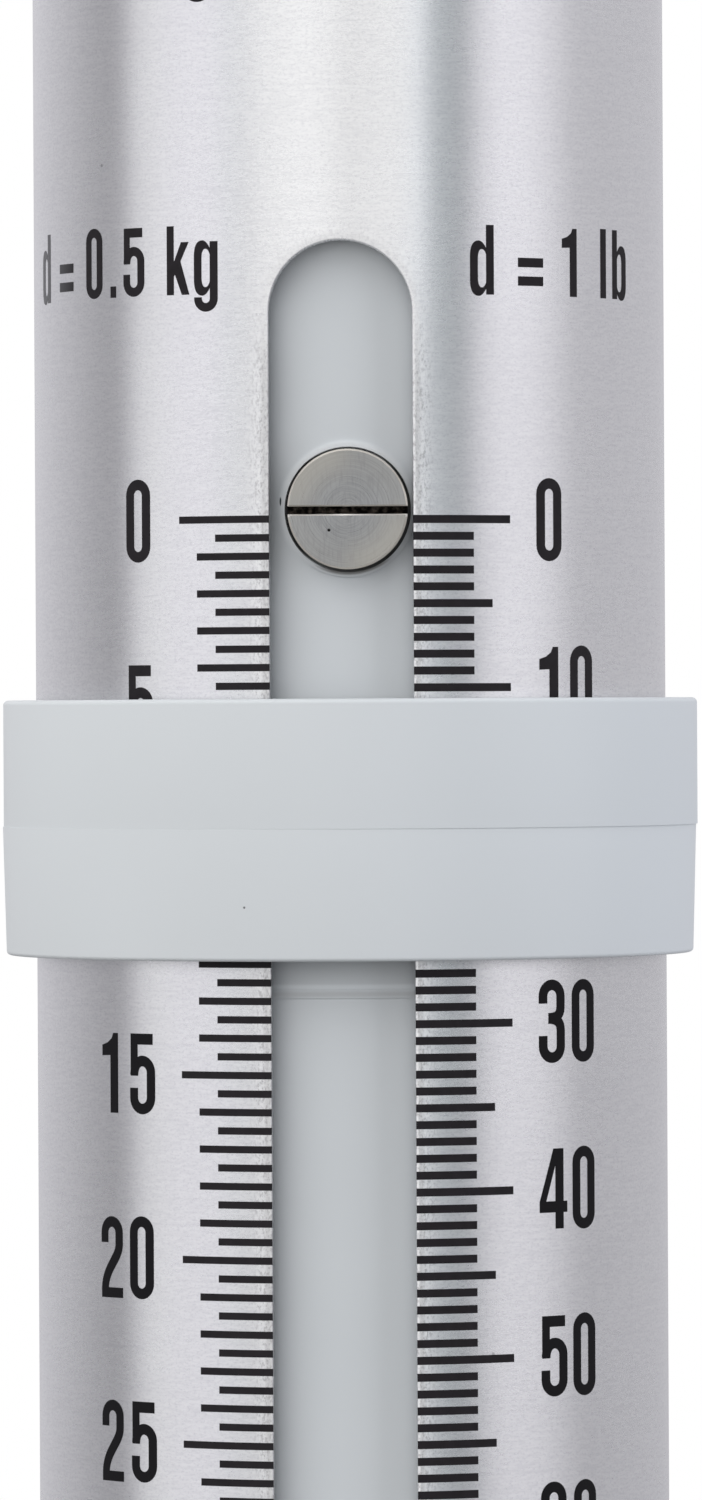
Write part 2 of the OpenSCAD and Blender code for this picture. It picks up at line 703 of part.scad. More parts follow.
module end_plug() color("dimgray") difference() {
    edge = 1.2;
    union() {
        translate([0, 0, end_plug_bottom_z])
            cylinder(r = inner_bore_r - fit_gap, h = end_plug_top_z - end_plug_bottom_z);
        rotate_extrude() union() {
            translate([0, end_plug_bottom_z + edge]) square([end_flange_r, end_flange_t - edge]);
            translate([0, end_plug_bottom_z]) square([end_flange_r - edge, end_flange_t]);
            translate([end_flange_r - edge, end_plug_bottom_z + edge]) circle(r = edge, $fn = 48);
        }
    }
    translate([0, 0, end_floor_z]) cylinder(r = nut_cavity_r, h = end_plug_top_z - end_floor_z + 1);
    translate([0, 0, end_plug_bottom_z - 1]) cylinder(d = shank_d + 2 * swivel_gap, h = end_floor_t + 2);
    for (a = side_screw_angles)
        rotate([0, 0, pointer_turn])
            radial(a, end_screw_z, nut_cavity_r - 1, tube_r, small_screw_d + 2 * fit_gap);
}

module end_plug_screws() color("darkgray") rotate([0, 0, pointer_turn])
    radial_screws(side_screw_angles, end_screw_z, end_screw_seat_r, end_screw_len);

module buffer_ring() color("black") difference() {
    edge = 1;
    rotate_extrude() union() {
        translate([0, inner_bottom_z]) square([end_flange_r, buffer_h - edge]);
        translate([0, inner_bottom_z]) square([end_flange_r - edge, buffer_h]);
        translate([end_flange_r - edge, buffer_top_z - edge]) circle(r = edge, $fn = 48);
    }
    translate([0, 0, inner_bottom_z - 1]) cylinder(r = inner_r + fit_gap, h = buffer_h + 2);
}

// Hook

module hook_section() {
    side = hook_t / 2 - hook_edge;
    polygon([for (i = [0 : 3])
        each arc(side * sqrt(2) * [cos(45 + 90 * i), sin(45 + 90 * i)], hook_edge, 90 * i, 90 * i + 90, 3)]);
}

module load_hook() color("silver") {
    neck_d = hook_t - 0.4;
    neck_z = hook_z + bowl_r + 0.2;
    difference() {
        union() {
            translate([0, 0, hook_collar_bottom_z])
                cylinder(d = shank_d, h = shank_top_z - hook_collar_bottom_z);
            translate([0, 0, hook_collar_bottom_z]) cylinder(r = shank_d / 2 + hook_collar_lip, h = hook_collar_h);
            translate([0, 0, neck_z]) cylinder(d = neck_d, h = hook_collar_bottom_z - neck_z + 0.01);
        }
        radial(90, split_pin_z, -shank_d, shank_d, split_pin_d + 2 * fit_gap);
    }
    translate([0, 0, hook_z]) {
        rotate([90, 0, 0]) rotate([0, 0, 90]) rotate_extrude(angle = 270)
            translate([hook_mid_r, 0]) hook_section();
        translate([hook_mid_r, 0, 0]) linear_extrude(height = hook_tip_h) hook_section();
        translate([hook_mid_r, 0, hook_tip_h]) intersection() {
            linear_extrude(height = hook_t) hook_section();
            rotate([90, 0, 0]) cylinder(d = hook_t, h = 2 * hook_t, center = true);
        }
    }
}

module thrust_washer() color("goldenrod")
    ring(thrust_washer_r, shank_d / 2 + swivel_gap, end_floor_z, hook_nut_z);

module hook_nut() color("darkgray") difference() {
    castle_w = split_pin_d + 0.6;
    castle_deep = 2 * split_pin_d;
    hex(hook_nut_af, hook_nut_z, hook_nut_h);
    translate([0, 0, hook_nut_z - 1]) cylinder(d = shank_d + 2 * fit_gap, h = hook_nut_h + 2);
    for (a = [0, 60, 120]) rotate([0, 0, a])
        translate([-castle_w / 2, -hook_nut_af, hook_nut_z + hook_nut_h - castle_deep])
        cube([castle_w, hook_nut_af * 2, castle_deep + 1]);
}

module split_pin() color("silver")
    radial(90, split_pin_z, -split_pin_len / 2, split_pin_len / 2, split_pin_d);

outer_tube();
inner_tube();
guide_ring();
pointer_screw();
ring_upper_half();
ring_lower_half();
ring_friction_clip();
top_cap();
cap_screws();
pivot_bushes();
bail();
handle_grip();
tare_knob();
tare_knob_insert();
tare_washer();
tare_spindle();
spindle_key();
upper_spring_plug();
spindle_nut();
load_spring();
lower_spring_plug();
bottom_collar();
collar_screws();
end_plug();
end_plug_screws();
buffer_ring();
load_hook();
thrust_washer();
hook_nut();
split_pin();
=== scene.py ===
import math

import bmesh
import bpy
from mathutils import Matrix, Vector


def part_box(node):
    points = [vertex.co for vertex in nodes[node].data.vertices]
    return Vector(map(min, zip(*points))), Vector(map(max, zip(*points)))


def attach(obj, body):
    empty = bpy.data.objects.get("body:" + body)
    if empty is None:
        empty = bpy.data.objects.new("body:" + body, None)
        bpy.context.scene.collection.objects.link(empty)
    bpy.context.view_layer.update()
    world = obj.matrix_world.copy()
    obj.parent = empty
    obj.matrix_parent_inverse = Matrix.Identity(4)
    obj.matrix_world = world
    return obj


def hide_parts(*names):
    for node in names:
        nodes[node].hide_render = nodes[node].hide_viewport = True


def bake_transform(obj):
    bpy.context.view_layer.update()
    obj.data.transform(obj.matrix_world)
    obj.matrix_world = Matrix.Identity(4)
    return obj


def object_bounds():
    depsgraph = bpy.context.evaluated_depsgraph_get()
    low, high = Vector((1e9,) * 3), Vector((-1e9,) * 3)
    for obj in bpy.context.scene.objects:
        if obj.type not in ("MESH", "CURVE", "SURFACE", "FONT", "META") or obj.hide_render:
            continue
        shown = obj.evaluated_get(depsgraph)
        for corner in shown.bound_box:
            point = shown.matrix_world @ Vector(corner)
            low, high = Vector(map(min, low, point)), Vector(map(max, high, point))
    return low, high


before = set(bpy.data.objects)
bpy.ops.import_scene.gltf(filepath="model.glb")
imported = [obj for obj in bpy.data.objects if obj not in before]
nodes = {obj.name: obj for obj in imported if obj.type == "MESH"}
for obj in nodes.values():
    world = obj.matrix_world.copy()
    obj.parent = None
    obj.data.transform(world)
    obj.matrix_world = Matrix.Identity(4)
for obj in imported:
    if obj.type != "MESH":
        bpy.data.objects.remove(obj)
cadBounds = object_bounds()

# Tubular spring balance. Meshes are worked out in millimetres and scaled once, in makePiece.
mm = 0.001
scene = bpy.context.scene
scene.view_settings.view_transform = "Standard"


def boxMm(node):
    low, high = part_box(node)
    return low / mm, high / mm


def rgb(red, green, blue):  # 0 to 255, as a paint chip reads on a screen
    def linear(value):
        value /= 255
        return value / 12.92 if value <= 0.04045 else ((value + 0.055) / 1.055) ** 2.4

    return (linear(red), linear(green), linear(blue), 1.0)


# Places that the pieces share, read from the frame
tubeLow, tubeHigh = boxMm("outer_tube")
tubeR = tubeHigh.x
tubeTop, tubeBottom = tubeHigh.z, tubeLow.z
screwLow, screwHigh = boxMm("pointer_screw")
scale = {
    "zeroBelowScrew": 0.56,  # the zero line lies a little below the screw's middle
    "mmPerKilo": 2.168,
    "kiloPerPound": 0.45359237,
    "kilos": 50,
    "pounds": 110,
    "poundShift": -0.042,
}
screwZ = (screwLow.z + screwHigh.z) / 2
zeroZ = screwZ - scale["zeroBelowScrew"]

slot = {
    "width": 8.4,
    "aboveZero": 16.28,
    "aboveTubeEnd": 23.0,
    "wall": 1.5,
    "edgeRound": 0.1,  # tight round on the slot's edges
    "wornWidth": 0.5,  # strip along the slot that tumbling has rolled off
    "wornDrop": 0.014,
}
pointer = {
    "headD": 7.04,
    "bore": 7.34,
    "threadD": 4.0,
    "threadRound": 0.3,
    "chamfer": 0.11,
    "sunk": 0.8,
    "standsOut": 1.35,
    "slotWidth": 0.44,
    "slotDeep": 0.55,
    "slotBreak": 0.09,
    "slotShift": -0.07,
    "pit": (-1.09, -1.24),
    "top": -screwLow.y,
    "turn": math.atan2((screwLow.x + screwHigh.x) / 2, -screwLow.y),
}
pointer["face"] = pointer["top"] - pointer["standsOut"]
slotHalf = slot["width"] / 2
slotTop = zeroZ + slot["aboveZero"]
slotBottom = tubeBottom + slot["aboveTubeEnd"]
slotTopCentre = slotTop - slotHalf
slotBottomCentre = slotBottom + slotHalf


# Mesh helpers

def spaced(first, last, steps):
    return [first + (last - first) * k / steps for k in range(steps + 1)]


def polar(radius, angle):
    return radius * math.cos(angle), radius * math.sin(angle)


def makePiece(name, solid, material, body, standsFor=(), sharp=35):
    points, faces = solid
    mesh = bpy.data.meshes.new(name)
    mesh.from_pydata([Vector(p) * mm for p in points], [], faces)
    tidyMesh(mesh)
    return placePiece(bpy.data.objects.new(name, mesh), material, body, standsFor, sharp)


def tidyMesh(mesh, weld=1e-7):
    edit = bmesh.new()
    edit.from_mesh(mesh)
    bmesh.ops.remove_doubles(edit, verts=edit.verts, dist=weld)
    bmesh.ops.recalc_face_normals(edit, faces=edit.faces)
    edit.to_mesh(mesh)
    edit.free()


def placePiece(piece, material, body, standsFor=(), sharp=35, matrix=None):
    if piece.name not in scene.collection.objects:
        scene.collection.objects.link(piece)
    if matrix is not None:
        piece.matrix_world = matrix
    piece.data.shade_smooth()
    piece.data.set_sharp_from_angle(angle=math.radians(sharp))
    piece.data.materials.clear()
    piece.data.materials.append(material)
    if body:
        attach(piece, body)
    if standsFor:
        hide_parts(*standsFor)
    return piece


def bakeModifiers(piece):
    graph = bpy.context.evaluated_depsgraph_get()
    graph.update()
    result = bpy.data.meshes.new_from_object(piece.evaluated_get(graph))
    piece.modifiers.clear()
    piece.data = result


def addBoolean(piece, other, operation):
    change = piece.modifiers.new(operation.lower(), "BOOLEAN")
    change.operation = operation
    change.solver = "EXACT"
    change.object = other


def together(*solids):
    points, faces = [], []
    for solidPoints, solidFaces in solids:
        start = len(points)
        points += list(solidPoints)
        faces += [tuple(i + start for i in face) for face in solidFaces]
    return points, faces


def moved(solid, matrix):
    return [matrix @ Vector(p) for p in solid[0]], solid[1]


# Rounds the corners of a closed profile; a corner is (radius, height) or (radius, height, fillet)
def rounded(corners, steps=6):
    out = []
    count = len(corners)
    for i, corner in enumerate(corners):
        here = Vector(corner[:2])
        if len(corner) < 3:
            out.append(tuple(here))
            continue
        fillet = corner[2]
        back = (Vector(corners[i - 1][:2]) - here).normalized()
        ahead = (Vector(corners[(i + 1) % count][:2]) - here).normalized()
        half = back.angle(ahead) / 2
        centre = here + (back + ahead).normalized() * fillet / math.sin(half)
        start = here + back * fillet / math.tan(half) - centre
        end = here + ahead * fillet / math.tan(half) - centre
        first = math.atan2(start.y, start.x)
        turn = (math.atan2(end.y, end.x) - first + math.pi) % (2 * math.pi) - math.pi
        for k in range(steps + 1):
            angle = first + turn * k / steps
            out.append((centre.x + fillet * math.cos(angle), centre.y + fillet * math.sin(angle)))
    return out


# Turns a closed profile of (radius, height) about the Z axis; cut gives a radius its value at a step
def turned(profile, steps=128, cut=None):
    points, faces = [], []
    count = len(profile)
    for step in range(steps):
        angle = 2 * math.pi * step / steps
        for radius, z in profile:
            r = cut(radius, step) if cut else radius
            points.append((*polar(r, angle), z))
    for step in range(steps):
        here, there = step * count, (step + 1) % steps * count
        for i in range(count):
            j = (i + 1) % count
            if profile[i][0] or profile[j][0]:
                faces.append((here + i, there + i, there + j, here + j))
    return points, faces


# Joins outlines with equal counts of points in a row; the ends are closed, or the last meets the first
def joined(rings, closed=False):
    count, width = len(rings), len(rings[0])
    faces = []
    for i in range(count if closed else count - 1):
        j = (i + 1) % count
        for k in range(width):
            m = (k + 1) % width
            faces.append((i * width + k, i * width + m, j * width + m, j * width + k))
    if not closed:
        faces.append(tuple(reversed(range(width))))
        faces.append(tuple(range((count - 1) * width, count * width)))
    return [point for ring in rings for point in ring], faces


# Sweeps a closed section along a path; across gives the section's first axis at each point
def swept(path, across, section, sizes=None):
    rings = []
    last = len(path) - 1
    for i, point in enumerate(path):
        ahead = (path[min(i + 1, last)] - path[max(i - 1, 0)]).normalized()
        up = ahead.cross(across[i]).normalized()
        side = up.cross(ahead)
        sizeSide, sizeUp = sizes[i] if sizes else (1, 1)
        rings.append([point + side * x * sizeSide + up * y * sizeUp for x, y in section])
    return joined(rings)


def circleSection(radius, sides):
    return [polar(radius, 2 * math.pi * k / sides) for k in range(sides)]


# Shader helpers

def put(tree, kind, inputs=None, **settings):
    node = tree.nodes.new(kind)
    for key, value in settings.items():
        setattr(node, key, value)
    for key, value in (inputs or {}).items():
        if isinstance(value, bpy.types.NodeSocket):
            tree.links.new(value, node.inputs[key])
        else:
            node.inputs[key].default_value = value
    return node


def calc(tree, operation, first, second=0.0, third=0.0):
    return put(tree, "ShaderNodeMath", {0: first, 1: second, 2: third}, operation=operation).outputs[0]


def times(tree, first, *others):
    for other in others:
        first = calc(tree, "MULTIPLY", first, other)
    return first


def plus(tree, base, value, share):  # base and a share of value
    return calc(tree, "MULTIPLY_ADD", value, share, base)


def radiusOf(tree, x, y):
    return calc(tree, "SQRT", calc(tree, "ADD", times(tree, x, x), times(tree, y, y)))


def vectorCalc(tree, operation, first, second=(0, 0, 0)):
    node = put(tree, "ShaderNodeVectorMath", {0: first, 1: second}, operation=operation)
    return node.outputs["Value" if operation in ("DISTANCE", "DOT_PRODUCT", "LENGTH") else "Vector"]


def split(tree, vector):
    return put(tree, "ShaderNodeSeparateXYZ", {0: vector}).outputs


def combine(tree, x=0.0, y=0.0, z=0.0):
    return put(tree, "ShaderNodeCombineXYZ", {0: x, 1: y, 2: z}).outputs[0]


def ramp(tree, value, low, high, toLow=0.0, toHigh=1.0):
    inputs = {"Value": value, "From Min": low, "From Max": high, "To Min": toLow, "To Max": toHigh}
    return put(tree, "ShaderNodeMapRange", inputs, interpolation_type="SMOOTHSTEP").outputs["Result"]


def blend(tree, factor, first, second, mode="MIX"):
    inputs = {0: factor, 6: first, 7: second}
    return put(tree, "ShaderNodeMix", inputs, data_type="RGBA", blend_type=mode).outputs[2]


def noise(tree, vector, size=1.0, detail=3.0, roughness=0.55):
    inputs = {"Vector": vector, "Scale": size, "Detail": detail, "Roughness": roughness}
    return put(tree, "ShaderNodeTexNoise", inputs).outputs["Fac"]


def newGroup(name, inputs, outputs):
    group = bpy.data.node_groups.new(name, "ShaderNodeTree")
    kinds = {"vector": "NodeSocketVector", "value": "NodeSocketFloat", "colour": "NodeSocketColor"}
    for label, kind, start in inputs:
        made = group.interface.new_socket(name=label, in_out="INPUT", socket_type=kinds[kind])
        if start is not None:
            made.default_value = start
    for label, kind in outputs:
        group.interface.new_socket(name=label, in_out="OUTPUT", socket_type=kinds[kind])
    start = group.nodes.new("NodeGroupInput")
    end = group.nodes.new("NodeGroupOutput")
    return group, start.outputs, end


def close(group, end, **values):
    for label, value in values.items():
        group.links.new(value, end.inputs[label])


def use(tree, group, inputs):
    return put(tree, "ShaderNodeGroup", inputs, node_tree=group).outputs


# Effects that several materials share

# Fine lines along one direction, with a finer grain between them
def makeBrushLines():
    group, inputs, end = newGroup(
        "brushLines",
        [("Along", "value", 0), ("Across", "value", 0), ("Depth", "value", 0),
         ("Line length", "value", 0.8), ("Lines per mm", "value", 5.2)],
        [("Lines", "value"), ("Grain", "value")],
    )
    stretched = calc(group, "DIVIDE", inputs["Along"], inputs["Line length"])
    packed = times(group, inputs["Across"], inputs["Lines per mm"])
    lines = noise(group, combine(group, stretched, packed, inputs["Depth"]), 1.0, 4.0, 0.6)
    shorter, finer = times(group, inputs["Along"], 4.5), times(group, packed, 1.35)
    grain = noise(group, combine(group, shorter, finer, inputs["Depth"]), 1.0, 2.0, 0.7)
    close(group, end, Lines=lines, Grain=grain)
    return group


# Rare round specks of a given size: inclusions, pits and chips
def makeSpecks():
    group, inputs, end = newGroup(
        "rareSpecks",
        [("Vector", "vector", None), ("Cells per mm", "value", 0.5), ("Share", "value", 0.1),
         ("Size", "value", 0.08)],
        [("Mask", "value")],
    )
    cells = put(group, "ShaderNodeTexVoronoi",
                {"Vector": inputs["Vector"], "Scale": inputs["Cells per mm"], "Randomness": 1.0})
    edge = times(group, inputs["Size"], inputs["Cells per mm"])
    inner = times(group, edge, 0.6)
    dot = put(group, "ShaderNodeMapRange",
              {"Value": cells.outputs["Distance"], "From Min": inner, "From Max": edge,
               "To Min": 1.0, "To Max": 0.0}).outputs["Result"]
    parts = put(group, "ShaderNodeSeparateColor", {"Color": cells.outputs["Color"]})
    chosen = calc(group, "LESS_THAN", parts.outputs[0], inputs["Share"])
    close(group, end, Mask=times(group, dot, chosen))
    return group


# Fine skin of moulded plastic, with the slow waves that cooling leaves
def makeMouldSkin():
    group, inputs, end = newGroup(
        "mouldSkin",
        [("Vector", "vector", None), ("Grains per mm", "value", 5.0), ("Waves per mm", "value", 0.08)],
        [("Height", "value"), ("Waves", "value")],
    )
    grain = noise(group, inputs["Vector"], inputs["Grains per mm"], 3.0, 0.6)
    waves = noise(group, inputs["Vector"], inputs["Waves per mm"], 1.0, 0.4)
    close(group, end, Height=grain, Waves=waves)
    return group


# Marks of handling: soft cloudy patches that are a little glossier or duller
def makeHandling():
    group, inputs, end = newGroup(
        "handling", [("Vector", "vector", None), ("Patches per mm", "value", 0.05)], [("Mask", "value")]
    )
    cloud = noise(group, inputs["Vector"], inputs["Patches per mm"], 5.0, 0.62)
    close(group, end, Mask=ramp(group, cloud, 0.35, 0.68))
    return group


brushLines = makeBrushLines()
rareSpecks = makeSpecks()
mouldSkin = makeMouldSkin()
handling = makeHandling()
print("scene: shared effects made")


def brushed(tree, along, across, depth, length=0.8, linesPerMm=5.2):
    return use(tree, brushLines, {"Along": along, "Across": across, "Depth": depth,
                                  "Line length": length, "Lines per mm": linesPerMm})


def specks(tree, place, cells, share, size):
    inputs = {"Vector": place, "Cells per mm": cells, "Share": share, "Size": size}
    return use(tree, rareSpecks, inputs)["Mask"]


def touched(tree, place, patches):
    return use(tree, handling, {"Vector": place, "Patches per mm": patches})["Mask"]


def placeInMm(tree):
    place = put(tree, "ShaderNodeTexCoord").outputs["Object"]
    return vectorCalc(tree, "MULTIPLY", place, (1 / mm, 1 / mm, 1 / mm))


def startMaterial(name):
    material = bpy.data.materials.new(name)
    material.use_nodes = True
    tree = material.node_tree
    return material, tree, tree.nodes["Principled BSDF"], placeInMm(tree)


# What a mark on a finished material needs: its tree, its shader and the colour it has so far
def openMaterial(material):
    tree = material.node_tree
    shader = tree.nodes["Principled BSDF"]
    return tree, shader, shader.inputs["Base Color"].links[0].from_socket


# Lines that run round the Z axis draw a metal's highlights out across them
def setSurface(tree, shader, tone, rough, metallic=0.0, anisotropy=0.0):
    tree.links.new(tone, shader.inputs["Base Color"])
    tree.links.new(rough, shader.inputs["Roughness"])
    shader.inputs["Metallic"].default_value = metallic
    if anisotropy:
        shader.inputs["Anisotropic"].default_value = anisotropy
        shader.inputs["Anisotropic Rotation"].default_value = 0.25
        tangent = put(tree, "ShaderNodeTangent", direction_type="RADIAL", axis="Z")
        tree.links.new(tangent.outputs[0], shader.inputs["Tangent"])


def bump(tree, shader, height, microns, strength=1.0):
    node = put(tree, "ShaderNodeBump", {"Height": height, "Distance": microns * 1e-6, "Strength": strength})
    tree.links.new(node.outputs["Normal"], shader.inputs["Normal"])


# Aluminium of the outer tube, brushed round it, with a tumbled and speckled strip along the slot whose light
# speckles are painted glints, and painted shade along the slot's edge
def makeTubeAluminium():
    look = {
        "metal": rgb(246, 246, 247),
        "shadeOfLines": rgb(236, 236, 238),
        "lineEnds": (0.36, 0.6),  # noise levels between which the shade goes over to the metal
        "shadeOfGrain": rgb(226, 226, 229),
        "grainEnds": (0.46, 0.72),
        "grainShare": 0.85,
        "grainHeight": 0.9,  # against the lines
        "roughness": 0.27,
        "lineRoughness": 0.09,
        "anisotropy": 0.84,
        "lineHeight": 3.1,  # microns
        "coarse": (5.0, 2.2),  # length of the coarse lines, and how many lie in a millimetre
        "coarseShare": 0.3,
        "strip": (0.4, 1.6),  # how far from the slot the strip starts to fade, and where it ends
        "stripFade": (-5.0, 1.0),  # heights from the arch's centre, between which it fades upward
        "stripHeight": 2.6,
        "stripRoughness": 0.03,
        "brinkShade": rgb(150, 149, 150),  # painted shade right at the slot's edge, where it rolls into the slot
        "brinkShare": 0.34,
        "brinkStart": (0.1, 0.22),  # on the right it starts this far from the edge
        "brinkEnd": (0.28, 0.6),
        "brinkFade": (-4.0, 0.5),
        "leftAtArch": 0.25,  # share of the strip and the brink that goes on round the arch
        "dents": (0.35, 0.06, 0.13),  # cells in a millimetre, share of them, size
        "dent": rgb(120, 120, 124),
        "dentShare": 0.5,
        "handled": 0.07,  # patches in a millimetre
        "handledRoughness": 0.03,
    }
    spots = {
        "squash": (1.0, 1.0, 0.55),
        "size": 6.5,
        "light": rgb(255, 255, 255),
        # Painted glints: the strip's light speckles, more of them toward the slot's upper end
        "lightEnds": (0.5, 0.36),
        "lightShare": (0.3, 0.7),  # at the slot's lower and upper end
        "dark": rgb(160, 158, 159),
        "darkEnds": (0.5, 0.66),
        "darkShare": 0.5,
    }
    material, tree, shader, place = startMaterial("tubeAluminium")
    x, y, z = split(tree, place)
    around = times(tree, calc(tree, "ARCTAN2", x, times(tree, y, -1.0)), tubeR)
    fine = brushed(tree, around, z, 3.0)
    coarse = brushed(tree, around, z, 9.0, *look["coarse"])
    lines = times(tree, fine["Lines"], 1 - look["coarseShare"])
    lines = plus(tree, lines, coarse["Lines"], look["coarseShare"])

    # How far a point lies from the slot's outline
    above = calc(tree, "SUBTRACT", z, slotTopCentre)
    below = calc(tree, "SUBTRACT", slotBottomCentre, z)
    past = calc(tree, "MAXIMUM", calc(tree, "MAXIMUM", above, below), 0.0)
    away = calc(tree, "SUBTRACT", radiusOf(tree, x, past), slotHalf)
    front = calc(tree, "LESS_THAN", y, 0.0)

    strip = times(tree, front, ramp(tree, away, *look["strip"], 1.0, 0.0),
                  ramp(tree, above, *look["stripFade"], 1.0, look["leftAtArch"]))
    squashed = vectorCalc(tree, "MULTIPLY", place, spots["squash"])
    speckle = noise(tree, squashed, spots["size"], 2.0, 0.7)
    dark = times(tree, strip, ramp(tree, speckle, *spots["darkEnds"]), spots["darkShare"])
    # Painted glints on the strip's light speckles, growing toward the top
    light = times(tree, strip, ramp(tree, speckle, *spots["lightEnds"]),
                  ramp(tree, z, slotBottomCentre, slotTopCentre, *spots["lightShare"]))
    # Painted shade along the slot's edge
    brinkShade = times(tree, front, ramp(tree, away, *look["brinkEnd"], look["brinkShare"], 0.0),
                  ramp(tree, above, *look["brinkFade"], 1.0, look["leftAtArch"]))
    onLeft = calc(tree, "LESS_THAN", x, 0.0)
    brinkShade = times(tree, brinkShade, calc(tree, "MAXIMUM", ramp(tree, away, *look["brinkStart"]), onLeft))

    dents = specks(tree, place, *look["dents"])
    tone = blend(tree, ramp(tree, lines, *look["lineEnds"]), look["shadeOfLines"], look["metal"])
    grain = ramp(tree, fine["Grain"], *look["grainEnds"], 0.0, look["grainShare"])
    tone = blend(tree, grain, tone, look["shadeOfGrain"])
    tone = blend(tree, light, tone, spots["light"])
    tone = blend(tree, brinkShade, tone, look["brinkShade"])
    tone = blend(tree, dark, tone, spots["dark"])
    tone = blend(tree, times(tree, dents, look["dentShare"]), tone, look["dent"])
    rough = plus(tree, look["roughness"] - look["lineRoughness"] / 2, lines, look["lineRoughness"])
    rough = plus(tree, rough, touched(tree, place, look["handled"]), look["handledRoughness"])
    rough = plus(tree, rough, strip, look["stripRoughness"])
    setSurface(tree, shader, tone, rough, 1.0, look["anisotropy"])
    height = plus(tree, lines, fine["Grain"], look["grainHeight"])
    height = plus(tree, height, times(tree, speckle, strip), look["stripHeight"])
    bump(tree, shader, height, look["lineHeight"])
    return material


# Printed ink of the scales: worn thin above and at its outer end, with tiny chips down to the metal
def makeInk():
    look = {
        "clouds": 1.6,  # in a millimetre
        "worn": (rgb(14, 11, 14), rgb(35, 31, 35)),  # between these two, cloud by cloud
        "fresh": (rgb(2, 1, 4), rgb(8, 6, 10)),
        "freshBelow": (-30.0, -12.0),  # heights from the zero line
        "figuresFrom": (9.5, 11.0),  # the marks keep the worn tone
        "thin": rgb(113, 113, 117),
        "thinEnd": (-18.6, -15.6),
        "thinShare": 0.85,
        "chips": (0.45, 0.05, 0.14),  # cells in a millimetre, share of them, size
        "chip": rgb(225, 225, 226),
        "roughness": 0.5,
        "cloudRoughness": 0.12,
        "specular": 0.22,
        "grain": 9.0,
        "grainHeight": 2.0,  # microns
    }
    material, tree, shader, place = startMaterial("scaleInk")
    chips = specks(tree, place, *look["chips"])
    cloud = noise(tree, place, look["clouds"], 3.0, 0.6)
    axes = split(tree, place)
    x, z = axes["X"], axes["Z"]
    beside = ramp(tree, calc(tree, "ABSOLUTE", x), *look["figuresFrom"])
    low = ramp(tree, z, *(zeroZ + height for height in look["freshBelow"]), 1.0, 0.0)
    worn, fresh = blend(tree, cloud, *look["worn"]), blend(tree, cloud, *look["fresh"])
    tone = blend(tree, times(tree, beside, low), worn, fresh)
    tone = blend(tree, ramp(tree, x, *look["thinEnd"], look["thinShare"], 0.0), tone, look["thin"])
    tone = blend(tree, chips, tone, look["chip"])
    setSurface(tree, shader, tone, plus(tree, look["roughness"], cloud, look["cloudRoughness"]))
    shader.inputs["Specular IOR Level"].default_value = look["specular"]
    bump(tree, shader, noise(tree, place, look["grain"], 2.0), look["grainHeight"])
    return material


plasticLook = {
    "grains": 5.0,  # in a millimetre, as the waves, the patches and the cells
    "grainHeight": 4.0,  # microns
    "waves": 0.08,
    "waveShade": 0.965,
    "patches": 0.06,
    "wear": -0.05,  # added to the roughness where hands have been
    "speckCells": 0.25,
    "speckShare": 0.06,
    "speckSize": 0.1,
    "speckDark": 0.6,
    "speck": rgb(96, 96, 98),
}


# Moulded plastic in a given colour, from satin to dull
def makePlastic(name, **changes):
    look = {**plasticLook, **changes}
    material, tree, shader, place = startMaterial(name)
    inputs = {"Vector": place, "Grains per mm": look["grains"], "Waves per mm": look["waves"]}
    skin = use(tree, mouldSkin, inputs)
    flecks = specks(tree, place, look["speckCells"], look["speckShare"], look["speckSize"])
    tone = blend(tree, skin["Waves"], shaded(look["colour"], look["waveShade"]), look["colour"])
    tone = blend(tree, times(tree, flecks, look["speckDark"]), tone, look["speck"])
    rough = plus(tree, look["roughness"], touched(tree, place, look["patches"]), look["wear"])
    setSurface(tree, shader, tone, rough)
    bump(tree, shader, skin["Height"], look["grainHeight"])
    return material


def shaded(colour, share):
    return tuple(value * share for value in colour[:3]) + (1.0,)


metalLook = {
    "turnLength": 8.0,  # length of line that a turn in radians stands for
    "lines": 6.0,  # in a millimetre, as the patches and the cells
    "lineLength": 4.0,
    "lineEnds": (0.35, 0.65),
    "lineHeight": 2.0,  # microns
    "lineRoughness": 0.12,
    "dullShade": 0.82,
    "patches": 0.12,
    "stain": 0.12,
    "stainRoughness": 0.05,
    "pitCells": 0.4,
    "pitShare": 0.06,
    "pitSize": 0.12,
    "pitDark": 0.8,
    "pitHeight": -3.0,
    "pit": rgb(40, 38, 36),
}


# Machined or drawn metal, whose lines run round the piece's own Z axis
def makeMetal(name, **changes):
    look = {**metalLook, **changes}
    material, tree, shader, place = startMaterial(name)
    x, y, z = split(tree, place)
    around = times(tree, calc(tree, "ARCTAN2", x, y), look["turnLength"])
    across = calc(tree, "ADD", radiusOf(tree, x, y), z)
    lines = brushed(tree, around, across, 1.0, look["lineLength"], look["lines"])
    stains = touched(tree, place, look["patches"])
    pits = specks(tree, place, look["pitCells"], look["pitShare"], look["pitSize"])
    dull = shaded(look["colour"], look["dullShade"])
    tone = blend(tree, ramp(tree, lines["Lines"], *look["lineEnds"]), dull, look["colour"])
    tone = blend(tree, times(tree, stains, look["stain"]), tone, dull)
    tone = blend(tree, times(tree, pits, look["pitDark"]), tone, look["pit"])
    rough = plus(tree, look["roughness"], lines["Lines"], look["lineRoughness"])
    rough = plus(tree, rough, stains, look["stainRoughness"])
    setSurface(tree, shader, tone, rough, 1.0)
    height = plus(tree, lines["Lines"], lines["Grain"], 0.6)
    bump(tree, shader, plus(tree, height, pits, look["pitHeight"]), look["lineHeight"])
    return material
